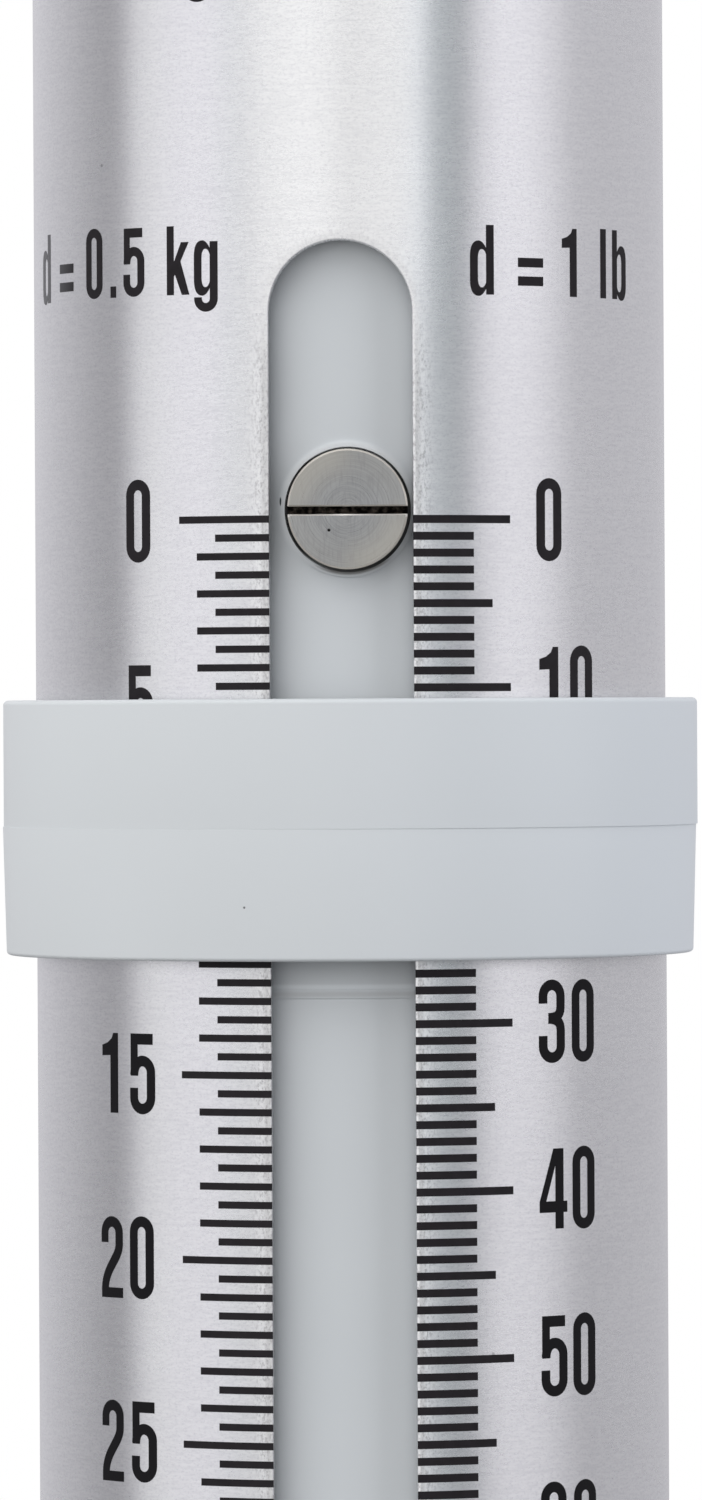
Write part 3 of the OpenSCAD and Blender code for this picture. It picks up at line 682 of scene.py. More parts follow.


# Steel of the pointer screw: a turned face with a painted sheen along one diagonal and painted highlights on
# its chamfer and on the driver slot's lower edge, with dirt and painted shade in the driver slot and painted
# shade down the side
def makePointerSteel():
    look = {
        "light": rgb(160, 161, 162),
        "dull": rgb(145, 146, 147),
        "lineEnds": (0.34, 0.64),
        "grainEnds": (0.5, 0.75),
        "grainShare": 0.3,
        "turning": (1.4, 12.0),  # length of the turning lines, and how many lie in a millimetre
        "streak": rgb(134, 134, 136),  # wiped down across the face
        "streakNoise": (7.0, 0.9),  # how fine the streaks are across and along
        "streakEnds": (0.48, 0.66),
        "streakShare": 0.45,
        # Painted sheen: the turned face's bow-tie reflection, painted warm along one diagonal
        "paintedSheen": rgb(180, 176, 167),
        "sheenSlant": (0.7, 1.4),
        "sheenShares": (0.15, 0.45),  # everywhere, and more along one diagonal
        "sheenRadii": (1.2, 3.3),
        # Painted highlight: the chamfer below the flat top is painted pale
        "edge": rgb(226, 221, 212),
        "edgeHighlightShare": 0.85,
        "edgeRoughness": 0.2,
        "lip": rgb(255, 252, 246),  # painted highlight along the lower edge of the driver slot
        "lipHighlightWide": 0.4,
        "slotReach": 0.25,  # the slot's dirt and painted shade reach this far from its middle
        "slotRoughness": 0.3,
        "pit": (0.05, 0.12),
        "pitHeight": -14.0,
        # Dirt in the pit; in the driver slot it stands for dirt and painted shade
        "dirtAndShade": rgb(14, 12, 11),
        "dust": rgb(92, 84, 76),
        "dustEnds": (0.42, 0.66),
        # painted shade down the head's side wall
        "side": rgb(34, 33, 33),
        "roughness": 0.24,
        "anisotropy": 0.85,
        "lineHeight": 1.9,  # microns
    }
    material, tree, shader, place = startMaterial("pointerSteel")
    x, y, z = split(tree, place)
    radius = radiusOf(tree, x, y)
    around = times(tree, calc(tree, "ARCTAN2", x, y), 0.9)
    fine = brushed(tree, around, radius, 1.0, *look["turning"])
    tone = blend(tree, ramp(tree, fine["Lines"], *look["lineEnds"]), look["dull"], look["light"])
    grain = ramp(tree, fine["Grain"], *look["grainEnds"], 0.0, look["grainShare"])
    tone = blend(tree, grain, tone, look["dull"])
    finer, longer = look["streakNoise"]
    wiped = noise(tree, combine(tree, times(tree, x, finer), times(tree, y, longer)), 1.0, 3.0)
    streak = ramp(tree, wiped, *look["streakEnds"], 0.0, look["streakShare"])
    tone = blend(tree, streak, tone, look["streak"])
    # Painted sheen along one diagonal of the face
    slant = calc(tree, "DIVIDE", calc(tree, "SUBTRACT", y, x), calc(tree, "MAXIMUM", radius, 0.1))
    everywhere, more = look["sheenShares"]
    sheenWedge = ramp(tree, calc(tree, "ABSOLUTE", slant), *look["sheenSlant"])
    sheenWedge = plus(tree, everywhere, sheenWedge, more)
    tone = blend(tree, times(tree, sheenWedge, ramp(tree, radius, *look["sheenRadii"])), tone, look["paintedSheen"])
    offPit = vectorCalc(tree, "DISTANCE", combine(tree, x, y), (*pointer["pit"], 0))
    pit = ramp(tree, offPit, *look["pit"], 1.0, 0.0)
    tone = blend(tree, pit, tone, look["dirtAndShade"])

    # Painted highlights on the chamfer and along the driver slot's lower edge
    onEdge = calc(tree, "LESS_THAN", z, pointer["top"] - 0.004)
    tone = blend(tree, times(tree, onEdge, look["edgeHighlightShare"]), tone, look["edge"])
    offSlot = calc(tree, "SUBTRACT", y, pointer["slotShift"])
    lip = times(tree, calc(tree, "GREATER_THAN", offSlot, -look["lipHighlightWide"]),
                calc(tree, "LESS_THAN", offSlot, 0.0))
    tone = blend(tree, times(tree, onEdge, lip), tone, look["lip"])
    # The driver slot painted dark: dirt, and painted shade down between its walls
    deep = calc(tree, "LESS_THAN", z, pointer["top"] - pointer["slotBreak"] + 0.005)
    nearSlot = calc(tree, "LESS_THAN", calc(tree, "ABSOLUTE", offSlot), look["slotReach"])
    inSlot = times(tree, deep, nearSlot)
    dust = ramp(tree, noise(tree, place, 2.2, 4.0, 0.7), *look["dustEnds"])
    tone = blend(tree, inSlot, tone, blend(tree, dust, look["dirtAndShade"], look["dust"]))
    # Painted shade down the head's side wall
    low = calc(tree, "LESS_THAN", z, pointer["top"] - pointer["chamfer"] - 0.02)
    shadedSide = times(tree, low, calc(tree, "GREATER_THAN", radius, pointer["headD"] / 2 - 0.05))
    tone = blend(tree, shadedSide, tone, look["side"])

    rough = plus(tree, look["roughness"], fine["Lines"], 0.1)
    rough = plus(tree, rough, onEdge, look["edgeRoughness"])
    rough = plus(tree, rough, inSlot, look["slotRoughness"])
    setSurface(tree, shader, tone, rough, 1.0, look["anisotropy"])
    height = plus(tree, fine["Lines"], fine["Grain"], 0.5)
    bump(tree, shader, plus(tree, height, pit, look["pitHeight"]), look["lineHeight"])
    return material


# The counterbore round the screw: painted shade down in the gap, a painted highlight round its upper right, a
# painted shadow with grime under the head and a nick on the left. Distances are from the screw's axis, in the
# inner tube's own place.
def markCounterbore(material):
    look = {
        # painted shade down in the gap between the head and the counterbore
        "gap": rgb(22, 22, 22),
        "gapAxis": (0.1, 0.0, 0.99),  # the gap is lighter toward the ends of this axis
        "gapEnds": (2.4, 3.6),
        "gapEndShare": 0.3,
        # painted highlight on the boss's rim, on the side that faces the light
        "rimHighlight": rgb(224, 227, 229),
        "rimHighlightEdge": (3.85, 4.2),
        "rimHighlightAxis": (-0.45, 0.0, 0.89),
        "rimHighlightReach": (-3.0, 2.0),
        "rimHighlightShare": 0.75,
        # painted shadow of the head below it, with grime
        "shadowAndGrime": rgb(98, 95, 92),
        "shadowAndGrimeEdge": (3.74, 3.9),
        "shadowAndGrimeAxis": (0.1, 0.0, -1.0),
        "shadowAndGrimeReach": (2.9, 3.6),
        "shadowAndGrimeShare": 0.8,
        "nick": rgb(36, 50, 54),
        "nickAt": (-3.6, 0.0, 0.5),
        "nickSquash": (4.5, 0.0, 1.0),
        "nickEdge": (0.16, 0.32),
    }
    tree, shader, tone = openMaterial(material)
    into = nodes["inner_tube"].matrix_world.inverted()
    axis = into.to_3x3() @ Vector((math.sin(pointer["turn"]), -math.cos(pointer["turn"]), 0))
    away = vectorCalc(tree, "SUBTRACT", placeInMm(tree), into @ Vector((0, 0, screwZ * mm)) / mm)
    out = vectorCalc(tree, "DOT_PRODUCT", away, axis)
    far = vectorCalc(tree, "LENGTH", vectorCalc(tree, "CROSS_PRODUCT", away, axis))
    onFace = calc(tree, "GREATER_THAN", out, 10.0)

    def along(direction):
        return vectorCalc(tree, "DOT_PRODUCT", away, look[direction])

    # Painted highlight round the counterbore's upper rim
    rimHighlight = times(tree, onFace, ramp(tree, far, *look["rimHighlightEdge"], 1.0, 0.0),
                 ramp(tree, along("rimHighlightAxis"), *look["rimHighlightReach"], 0.0, look["rimHighlightShare"]))
    tone = blend(tree, rimHighlight, tone, look["rimHighlight"])
    # Painted shadow below the head, with grime
    shadowAndGrime = times(tree, onFace, ramp(tree, far, *look["shadowAndGrimeEdge"], 1.0, 0.0),
                  ramp(tree, along("shadowAndGrimeAxis"), *look["shadowAndGrimeReach"], 0.0, look["shadowAndGrimeShare"]))
    tone = blend(tree, shadowAndGrime, tone, look["shadowAndGrime"])
    nick = vectorCalc(tree, "SUBTRACT", away, look["nickAt"])
    nick = vectorCalc(tree, "LENGTH", vectorCalc(tree, "MULTIPLY", nick, look["nickSquash"]))
    nick = ramp(tree, nick, *look["nickEdge"], 1.0, 0.0)
    tone = blend(tree, times(tree, onFace, nick), tone, look["nick"])
    # Painted shade down in the gap, lighter toward the ends of the gap axis
    towardEnd = calc(tree, "ABSOLUTE", along("gapAxis"))
    gap = times(tree, calc(tree, "LESS_THAN", far, pointer["bore"] / 2 + 0.03),
                calc(tree, "LESS_THAN", out, pointer["face"] - 0.03),
                ramp(tree, towardEnd, *look["gapEnds"], 1.0, look["gapEndShare"]))
    tree.links.new(blend(tree, gap, tone, look["gap"]), shader.inputs["Base Color"])


# Low bead moulded round the inner tube: a painted highlight on its upper flank and painted shade under it
def markRidge(material):
    look = {
        "belowZero": 27.64,
        "bands": ((0.24, rgb(218, 222, 225)), (-0.19, rgb(187, 190, 192))),  # height from the bead, tone
        "core": 0.04,
        "reach": 0.24,
    }
    tree, shader, tone = openMaterial(material)
    into = nodes["inner_tube"].matrix_world.inverted()
    z = split(tree, placeInMm(tree))["Z"]
    # Painted highlight above the bead and painted shade below it
    for shift, shade in look["bands"]:
        middle = into @ Vector((0, 0, (zeroZ - look["belowZero"] + shift) * mm)) / mm
        off = calc(tree, "ABSOLUTE", calc(tree, "SUBTRACT", z, middle.z))
        tone = blend(tree, ramp(tree, off, look["core"], look["reach"], 1.0, 0.0), tone, shade)
    tree.links.new(tone, shader.inputs["Base Color"])


# One small dark fleck in the drag ring's skin
def markFleck(material):
    look = {"x": -5.7, "y": -20.0, "belowParting": 4.56, "radius": 0.1, "share": 0.9,
            "tone": rgb(66, 66, 70)}
    tree, shader, under = openMaterial(material)
    at = (look["x"], look["y"], boxMm("ring_upper_half")[0].z - look["belowParting"])
    off = vectorCalc(tree, "DISTANCE", placeInMm(tree), at)
    fleck = ramp(tree, off, look["radius"] * 0.6, look["radius"], look["share"], 0.0)
    tree.links.new(blend(tree, fleck, under, look["tone"]), shader.inputs["Base Color"])


# Leather-like grain moulded into the grip, with painted shade in the creases between its cells
def makeGripPlastic():
    look = {
        # painted shade in the creases between the grain's cells
        "creaseShade": rgb(38, 39, 41),
        "crown": rgb(58, 60, 63),
        "cells": 0.9,  # in a millimetre, as the pores and the patches
        "cellJitter": 0.9,
        "creaseEnds": (0.1, 0.62),  # how far from a cell's middle it falls away to the crease
        "pores": 6.0,
        "poreHeight": 0.2,
        "patches": 0.05,
        "rubbed": rgb(66, 68, 71),
        "rubbedShare": 0.4,
        "rubbedSheen": -0.12,
        "roughness": 0.6,
        "grainHeight": 90.0,  # microns
    }
    material, tree, shader, place = startMaterial("gripPlastic")
    inputs = {"Vector": place, "Scale": look["cells"], "Randomness": look["cellJitter"]}
    cells = put(tree, "ShaderNodeTexVoronoi", inputs, feature="SMOOTH_F1")
    creases = ramp(tree, cells.outputs["Distance"], *look["creaseEnds"], 1.0, 0.0)
    rubbed = touched(tree, place, look["patches"])
    # Painted shade in the creases, the crowns lighter
    tone = blend(tree, creases, look["creaseShade"], look["crown"])
    tone = blend(tree, times(tree, rubbed, look["rubbedShare"]), tone, look["rubbed"])
    setSurface(tree, shader, tone, plus(tree, look["roughness"], rubbed, look["rubbedSheen"]))
    height = plus(tree, creases, noise(tree, place, look["pores"], 3.0), look["poreHeight"])
    bump(tree, shader, height, look["grainHeight"], 0.7)
    return material


tubeAluminium = makeTubeAluminium()
scaleInk = makeInk()
ringPlastic = makePlastic(
    "ringPlastic", colour=rgb(209, 213, 216), roughness=0.42, grains=4.0, grainHeight=3.0, waves=0.09,
    speckCells=0.11, speckShare=0.16, speckSize=0.16, speckDark=0.8)
innerPlastic = makePlastic(
    "innerPlastic", colour=rgb(203, 207, 210), roughness=0.38, grainHeight=2.5, waves=0.12,
    speckCells=0.2, speckShare=0.1, speckSize=0.14, speckDark=0.35)
capPlastic = makePlastic(
    "capPlastic", colour=rgb(196, 199, 203), roughness=0.52, grains=3.2, grainHeight=22.0, waves=0.05)
knobPlastic = makePlastic(
    "knobPlastic", colour=rgb(188, 191, 195), roughness=0.48, grains=3.6, grainHeight=16.0, waves=0.06)
endPlastic = makePlastic(
    "endPlastic", colour=rgb(86, 88, 91), roughness=0.5, grains=3.0, grainHeight=20.0, waveShade=0.85,
    speckDark=0.0)
bushAcetal = makePlastic(
    "bushAcetal", colour=rgb(232, 229, 218), roughness=0.3, grains=4.0, grainHeight=3.0)
guideAcetal = makePlastic(
    "guideAcetal", colour=rgb(238, 238, 234), roughness=0.32, grains=4.0, grainHeight=3.0)
bufferRubber = makePlastic(
    "bufferRubber", colour=rgb(40, 40, 41), roughness=0.72, grains=6.0, grainHeight=12.0, wear=0.12,
    speckDark=0.25, speckShare=0.2)
gripPlastic = makeGripPlastic()
pointerSteel = makePointerSteel()
screwSteel = makeMetal("screwSteel", colour=rgb(205, 204, 202), roughness=0.26, lineHeight=1.5)
clipSteel = makeMetal("clipSteel", colour=rgb(190, 192, 195), roughness=0.3)
bailSteel = makeMetal(
    "bailSteel", colour=rgb(222, 221, 219), roughness=0.12, lineRoughness=0.08, lineHeight=0.8, lines=4.0,
    stain=0.05)
spindleSteel = makeMetal("spindleSteel", colour=rgb(196, 198, 202), roughness=0.26, stain=0.3)
plugSteel = makeMetal("plugSteel", colour=rgb(205, 196, 150), roughness=0.3, stain=0.5)
springSteel = makeMetal("springSteel", colour=rgb(128, 131, 137), roughness=0.28, stain=0.4)
hookSteel = makeMetal(
    "hookSteel", colour=rgb(214, 213, 210), roughness=0.16, lines=3.0, lineLength=1.5, lineHeight=3.0,
    stain=0.5, dullShade=0.7, patches=0.16, pitShare=0.25, pitSize=0.2)
insertBrass = makeMetal("insertBrass", colour=rgb(222, 190, 120), roughness=0.24, stain=0.4)
markCounterbore(innerPlastic)
markRidge(innerPlastic)
markFleck(ringPlastic)
print("scene: materials made")


# Outer tube: rows follow the slot's outline, and columns run from the slot round to the back
def makeOuterTube():
    shape = {
        "arcSteps": 24,
        "columns": 120,
        "endChamfer": 0.25,
        "roundSteps": 4,
        "stripSteps": 4,
        "straightRows": 24,
    }
    innerR = tubeR - slot["wall"]
    edge = slot["edgeRound"]
    worn = slot["wornWidth"]

    bend = spaced(0, math.pi / 2, shape["arcSteps"])
    outline = [(slotTopCentre, math.sin(a), math.cos(a)) for a in bend[:-1]]
    outline += [(z, 1.0, 0.0) for z in spaced(slotTopCentre, slotBottomCentre, shape["straightRows"])]
    outline += [(slotBottomCentre, math.cos(a), -math.sin(a)) for a in bend[1:]]

    # (distance from the slot's wall, radius) from the bore, through the wall, to the worn strip's end
    lipR = tubeR - wornDropAt(edge) - edge
    corner = spaced(0, math.pi / 2, shape["roundSteps"])
    across = [(edge * (1 - math.sin(a)), innerR + edge * (1 - math.cos(a))) for a in corner]
    across += [(edge * (1 - math.cos(a)), lipR + edge * math.sin(a)) for a in corner]
    across += [(gap, tubeR - wornDropAt(gap)) for gap in spaced(edge, worn, shape["stripSteps"])[1:]]

    def row(centreZ, sideX, sideZ, mirror):
        def around(gap, radius):
            first = math.asin((slotHalf + gap) * sideX / radius)
            z = centreZ + (slotHalf + gap) * sideZ
            return [(mirror * radius * math.sin(a), -radius * math.cos(a), z)
                    for a in spaced(first, math.pi, shape["columns"])]

        wall = [around(*step)[0] for step in across[1:-1]]
        return list(reversed(around(*across[0]))) + wall + around(*across[-1])

    def skirt(slotRowZ, slotRowInnerZ, endZ, mirror):
        inward = shape["endChamfer"] if endZ < slotRowZ else -shape["endChamfer"]
        chamfer = shape["endChamfer"]
        levels = [(innerR, slotRowInnerZ), (innerR, endZ + inward), (innerR + chamfer, endZ),
                  (tubeR - chamfer, endZ), (tubeR, endZ + inward), (tubeR, slotRowZ)]
        return [[(mirror * r * math.sin(a), -r * math.cos(a), z) for r, z in levels]
                for a in spaced(0, math.pi, shape["columns"])]

    def grid(rows):
        width = len(rows[0])
        faces = []
        for i in range(len(rows) - 1):
            for k in range(width - 1):
                here = i * width + k
                faces.append((here, here + 1, here + width + 1, here + width))
        return [point for line in rows for point in line], faces

    solids = []
    for mirror in (1, -1):
        solids.append(grid([row(*step, mirror) for step in outline]))
        solids.append(grid(skirt(slotTop + worn, slotTop + edge, tubeTop, mirror)))
        solids.append(grid(skirt(slotBottom - worn, slotBottom - edge, tubeBottom, mirror)))
    makePiece("outer_tube_brushed", together(*solids), tubeAluminium, "housing",
              ("outer_tube",))


# How far the worn strip has dropped below the tube's round at a distance from the slot
def wornDropAt(gap):
    return slot["wornDrop"] * max(0.0, 1 - gap / slot["wornWidth"]) ** 2


makeOuterTube()
print("scene: outer tube made")


# Scale marks, laid on the tube; s is the length round the tube from the slot's middle

marks = {
    "lift": 0.014,  # how far the ink stands proud
    "sunk": 0.03,
    "strip": 0.4,  # width of the flat strips that follow the tube's round
    "slotGap": 0.02,  # between a mark and the slot's edge
    "tickSteps": 16,
    "tickCrowding": 1.5,  # above 1 the steps crowd toward the slot, where the tube is worn
    # Every so many marks, and how many degrees round the tube such a mark ends
    "kiloTicks": {"ends": ((10, 30.2), (2, 26.6), (1, 22.95)), "thick": 0.427},
    "poundTicks": {"ends": ((10, 31.2), (5, 27.6), (1, 24.0)), "thick": 0.474},
    "figureHigh": 4.88,
    "digitCell": 2.55,
    "digitShifts": {"1": (0.17, 0.08), "4": (0.0, 0.08), "5": (0.0, 0.05), "7": (0.0, 0.08)},
    "kiloCells": -16.57,
    "poundCells": 12.2,
}
# Section of a line of ink: height, and the side of the line's middle
inkSection = ((marks["lift"], 1), (-marks["sunk"], 1), (-marks["sunk"], -1), (marks["lift"], -1))


def kiloZ(value):
    return zeroZ - value * scale["mmPerKilo"]


def halfKiloZ(value):
    return kiloZ(value / 2)


def poundZ(value):
    return kiloZ(value * scale["kiloPerPound"]) + scale["poundShift"]


def onTube(s, z, height):
    angle = s / tubeR
    x = tubeR * math.sin(angle)
    past = max(z - slotTopCentre, slotBottomCentre - z, 0.0)
    gap = math.hypot(x, past) - slotHalf
    radius = tubeR - wornDropAt(max(gap, slot["edgeRound"])) + height
    return (radius * math.sin(angle), -radius * math.cos(angle), z)


def tick(z, endAngle, thick, side):
    start = math.asin((slotHalf + marks["slotGap"]) / tubeR)
    end = math.radians(endAngle)
    rings = []
    for part in spaced(0, 1, marks["tickSteps"]):
        s = side * tubeR * (start + (end - start) * part ** marks["tickCrowding"])
        rings.append([onTube(s, z + offset * thick / 2, height) for height, offset in inkSection])
    return joined(rings)


def makeTicks(name, look, count, heightOf, side):
    solids = []
    for value in range(count + 1):
        endAngle = next(angle for every, angle in look["ends"] if value % every == 0)
        solids.append(tick(heightOf(value), endAngle, look["thick"], side))
    makePiece(name, together(*solids), scaleInk, "housing")


makeTicks("kilogram_marks", marks["kiloTicks"], 2 * scale["kilos"], halfKiloZ, -1)
makeTicks("pound_marks", marks["poundTicks"], scale["pounds"], poundZ, 1)


# Condensed figures and letters, drawn in millimetres from their lower left corner

stroke = 0.63


def arc(x, y, r, first, last, steps=14):
    return [(x + r * math.cos(a), y + r * math.sin(a))
            for a in spaced(math.radians(first), math.radians(last), steps)]


def curve(a, b, c, d, steps=14):
    out = []
    for t in spaced(0, 1, steps):
        u = 1 - t
        weights = (u * u * u, 3 * u * u * t, 3 * u * t * t, t * t * t)
        out.append(tuple(sum(w * p[i] for w, p in zip(weights, (a, b, c, d))) for i in (0, 1)))
    return out


def stadium(x, r, low, high):
    return arc(x, high, r, 0, 180) + arc(x, low, r, 180, 360)


def block(x0, y0, x1, y1):
    return plate([(x0, y0), (x1, y0), (x1, y1), (x0, y1)])


def plate(outline):
    return joined([[(x, y, height) for x, y in outline] for height in (-marks["sunk"], marks["lift"])])


def band(line, width=stroke, closed=False):
    count = len(line)
    left, right = [], []
    for i, (x, y) in enumerate(line):
        before = line[i - 1] if closed or i else line[0]
        after = line[(i + 1) % count] if closed or i < count - 1 else line[-1]
        dx, dy = after[0] - before[0], after[1] - before[1]
        length = math.hypot(dx, dy)
        nx, ny = -dy / length * width / 2, dx / length * width / 2
        left.append((x + nx, y + ny))
        right.append((x - nx, y - ny))
    return between(left, right, closed)


def between(left, right, closed=False):
    rings = [[(*(a if side > 0 else b), height) for height, side in inkSection] for a, b in zip(left, right)]
    return joined(rings, closed)


# The oval of d, g and b: it thins toward the stem and leaves a notch above and below
def bowl(mirrored=False):
    outer = curve((1.5, 2.5), (1.3, 3.15), (1.0, 3.72), (0.66, 3.72), 8)
    outer += curve((0.66, 3.72), (0.2, 3.72), (0.0, 3.3), (0.0, 2.6), 8)[1:]
    inner = curve((1.3, 2.3), (1.26, 2.85), (1.1, 3.13), (0.89, 3.13), 8)
    inner += curve((0.89, 3.13), (0.68, 3.13), (0.59, 2.85), (0.59, 2.45), 8)[1:]
    sides = [line + [(x, 3.62 - y) for x, y in reversed(line)] for line in (outer, inner)]
    if mirrored:
        sides = [[(1.84 - x, y) for x, y in line] for line in sides]
    return between(*sides)


figures = {
    "0": [band(stadium(0.945, 0.63, 0.94, 3.94), closed=True)],
    "1": [plate([(0.75, 0), (1.42, 0), (1.42, 4.72), (1.02, 4.72), (0.87, 4.4), (0.5, 4.15), (0, 4.0),
                 (0, 3.37), (0.75, 3.4)])],
    "2": [band([(0.315, 3.25)] + arc(0.965, 3.84, 0.65, 180, 0) + curve((1.615, 3.15), (1.615, 2.3),
               (0.36, 1.75), (0.33, 0.5))), block(0.02, 0, 1.93, 0.6)],
    "3": [band([(0.315, 3.5)] + arc(0.98, 3.93, 0.665, 180, 0) + curve((1.645, 3.35), (1.645, 2.8),
               (1.4, 2.64), (0.72, 2.62))),
          band(curve((0.72, 2.62), (1.4, 2.6), (1.655, 2.4), (1.655, 1.85)) + arc(0.985, 0.98, 0.67, 0, -180)
               + [(0.315, 1.6)])],
    "4": [block(1.185, 0, 1.81, 4.72), block(0, 0.96, 2.1, 1.62),
          plate([(0, 0.96), (0.46, 0.96), (0.46, 1.55), (1.5, 4.72), (1.04, 4.72), (0, 1.6)])],
    "5": [block(0.14, 4.1, 1.88, 4.75), block(0.14, 2.26, 0.7, 4.75),
          band(curve((0.42, 2.3), (0.42, 2.85), (0.75, 3.14), (1.06, 3.14), 8)
               + arc(1.06, 2.46, 0.68, 85, 0) + arc(1.07, 0.98, 0.67, 0, -180) + [(0.4, 1.55)])],
    "6": [band(stadium(0.96, 0.65, 0.96, 2.2), closed=True),
          band([(0.31, 1.6), (0.31, 3.3)] + arc(0.96, 3.92, 0.65, 180, 0) + [(1.61, 3.35)])],
    "7": [block(0.05, 4.1, 1.9, 4.72), plate([(0.5, 0), (1.2, 0), (1.9, 4.1), (1.9, 4.3), (1.25, 4.3)])],
    "8": [band(stadium(0.96, 0.65, 0.96, 1.9), closed=True),
          band(stadium(0.96, 0.6, 3.15, 3.97), closed=True)],
    "9": [band(stadium(0.96, 0.65, 2.68, 3.92), closed=True),
          band([(1.61, 3.3), (1.61, 1.5)] + arc(0.96, 0.96, 0.65, 0, -180) + [(0.31, 1.53)])],
    "d": [bowl(), block(1.22, 0, 1.81, 4.8)],
    "b": [bowl(mirrored=True), block(0.03, 0, 0.62, 4.8)],
    "g": [bowl(), band([(1.53, 3.64), (1.53, -0.1)] + arc(0.92, -0.3, 0.61, 0, -180) + [(0.31, -0.2)], 0.6)],
    "k": [block(0, 0, 0.58, 4.76), plate([(0.45, 1.0), (1.8, 3.64), (1.18, 3.64), (0.45, 1.95)]),
          plate([(0.6, 1.6), (1.24, 0), (1.84, 0), (1.1, 2.4)])],
    "l": [block(0, 0, 0.64, 4.82)],
    "=": [block(0, 0.66, 2.12, 1.31), block(0, 1.94, 2.12, 2.59)],
    ".": [block(0, 0, 0.57, 0.79)],
}
figureMeshes = {}


# One clean mesh per figure: its strokes are joined, then cut into strips that can follow the tube
def figureMesh(character):
    if character in figureMeshes:
        return figureMeshes[character]
    pieces = []
    for points, faces in figures[character]:
        mesh = bpy.data.meshes.new("figurePart")
        mesh.from_pydata(points, [], faces)
        tidyMesh(mesh, 1e-5)
        piece = bpy.data.objects.new("figurePart", mesh)
        scene.collection.objects.link(piece)
        pieces.append(piece)
    whole = pieces[0]
    for other in pieces[1:]:
        addBoolean(whole, other, "UNION")
    bakeModifiers(whole)
    edit = bmesh.new()
    edit.from_mesh(whole.data)
    left = min(v.co.x for v in edit.verts)
    right = max(v.co.x for v in edit.verts)
    x = left + marks["strip"]
    while x < right:
        everything = list(edit.verts) + list(edit.edges) + list(edit.faces)
        bmesh.ops.bisect_plane(edit, geom=everything, plane_co=(x, 0, 0), plane_no=(1, 0, 0))
        x += marks["strip"]
    bmesh.ops.triangulate(edit, faces=edit.faces)
    mesh = bpy.data.meshes.new("figure")
    edit.to_mesh(mesh)
    edit.free()
    for piece in pieces:
        bpy.data.objects.remove(piece)
    figureMeshes[character] = contentsOf(mesh)
    return figureMeshes[character]


def contentsOf(mesh, unit=1.0):
    return [v.co / unit for v in mesh.vertices], [tuple(f.vertices) for f in mesh.polygons]


def laid(character, s, z, size=1.0):
    points, faces = figureMesh(character)
    return [onTube(s + x * size, z + y * size, h) for x, y, h in points], faces


def number(value, start, z):
    solids = []
    for k, digit in enumerate(str(value)):
        shiftS, shiftZ = marks["digitShifts"].get(digit, (0.0, 0.0))
        s = start + k * marks["digitCell"] + shiftS
        solids.append(laid(digit, s, z - marks["figureHigh"] / 2 + shiftZ))
    return together(*solids)


def makeNumbers():
    cell = marks["digitCell"]
    kilos = [number(value, marks["kiloCells"] + (0 if value > 9 else cell), kiloZ(value))
             for value in range(0, scale["kilos"] + 1, 5)]
    makePiece("kilogram_numbers", together(*kilos), scaleInk, "housing")
    pounds = [number(value, marks["poundCells"], poundZ(value))
              for value in range(0, scale["pounds"] + 1, 10)]
    makePiece("pound_numbers", together(*pounds), scaleInk, "housing")


# Small text and unit headings: heights above the zero line, and distances from the slot's middle
def makeUnits():
    divisions = {
        "size": 0.85,
        "kilo": (13.21, {"d": -24.02, "=": -20.94, "0": -17.65, ".": -15.29, "5": -14.23,
                         "k": -10.8, "g": -8.92}),
        "pound": (13.1, {"d": 7.8, "=": 10.98, "1": 14.25, "l": 17.63, "b": 18.83}),
    }
    headings = {
        "size": 1.2,
        "kilo": (31.78, {"k": -12.4, "g": -9.72}),
        "pound": (31.78, {"l": 9.3, "b": 10.7}),
    }
    for name, look in (("division_text", divisions), ("unit_headings", headings)):
        solids = [laid(character, s, zeroZ + height, look["size"])
                  for height, text in (look["kilo"], look["pound"]) for character, s in text.items()]
        makePiece(name, together(*solids), scaleInk, "housing")


makeNumbers()
makeUnits()
print("scene: scale marks made")


# Pointer screw: a turned head whose driver slot has broken edges
def makePointerScrew():
    top, innerEnd = pointer["top"], -screwHigh.y
    seat = pointer["face"] - pointer["sunk"]
    headR, threadR, chamfer = pointer["headD"] / 2, pointer["threadD"] / 2, pointer["chamfer"]
    profile = rounded([
        (0, innerEnd), (threadR, innerEnd, pointer["threadRound"]), (threadR, seat), (headR, seat),
        (headR, top - chamfer), (headR - chamfer, top), (0, top)], 3)
    head = makePiece("pointerBlank", turned(profile, 160), pointerSteel, None)

    half, edge, reach = pointer["slotWidth"] / 2, pointer["slotBreak"], pointer["headD"]
    slotFloor = top - pointer["slotDeep"]
    section = [(-half, slotFloor), (half, slotFloor), (half, top - edge), (half + 2 * edge, top + edge),
               (-half - 2 * edge, top + edge), (-half, top - edge)]
    rings = [[(x, y + pointer["slotShift"], z) for y, z in section] for x in (-reach, reach)]
    cutter = makePiece("pointerCutter", joined(rings), pointerSteel, None)
    addBoolean(head, cutter, "DIFFERENCE")
    bakeModifiers(head)
    bpy.data.objects.remove(cutter)
    head.name = "pointer_screw_turned"
    facing = Matrix.Rotation(math.pi / 2, 4, "X")
    place = Matrix.Rotation(pointer["turn"], 4, "Z") @ Matrix.Translation((0, 0, screwZ * mm)) @ facing
    placePiece(head, pointerSteel, "inner_set", ("pointer_screw",), 25, place)


makePointerScrew()


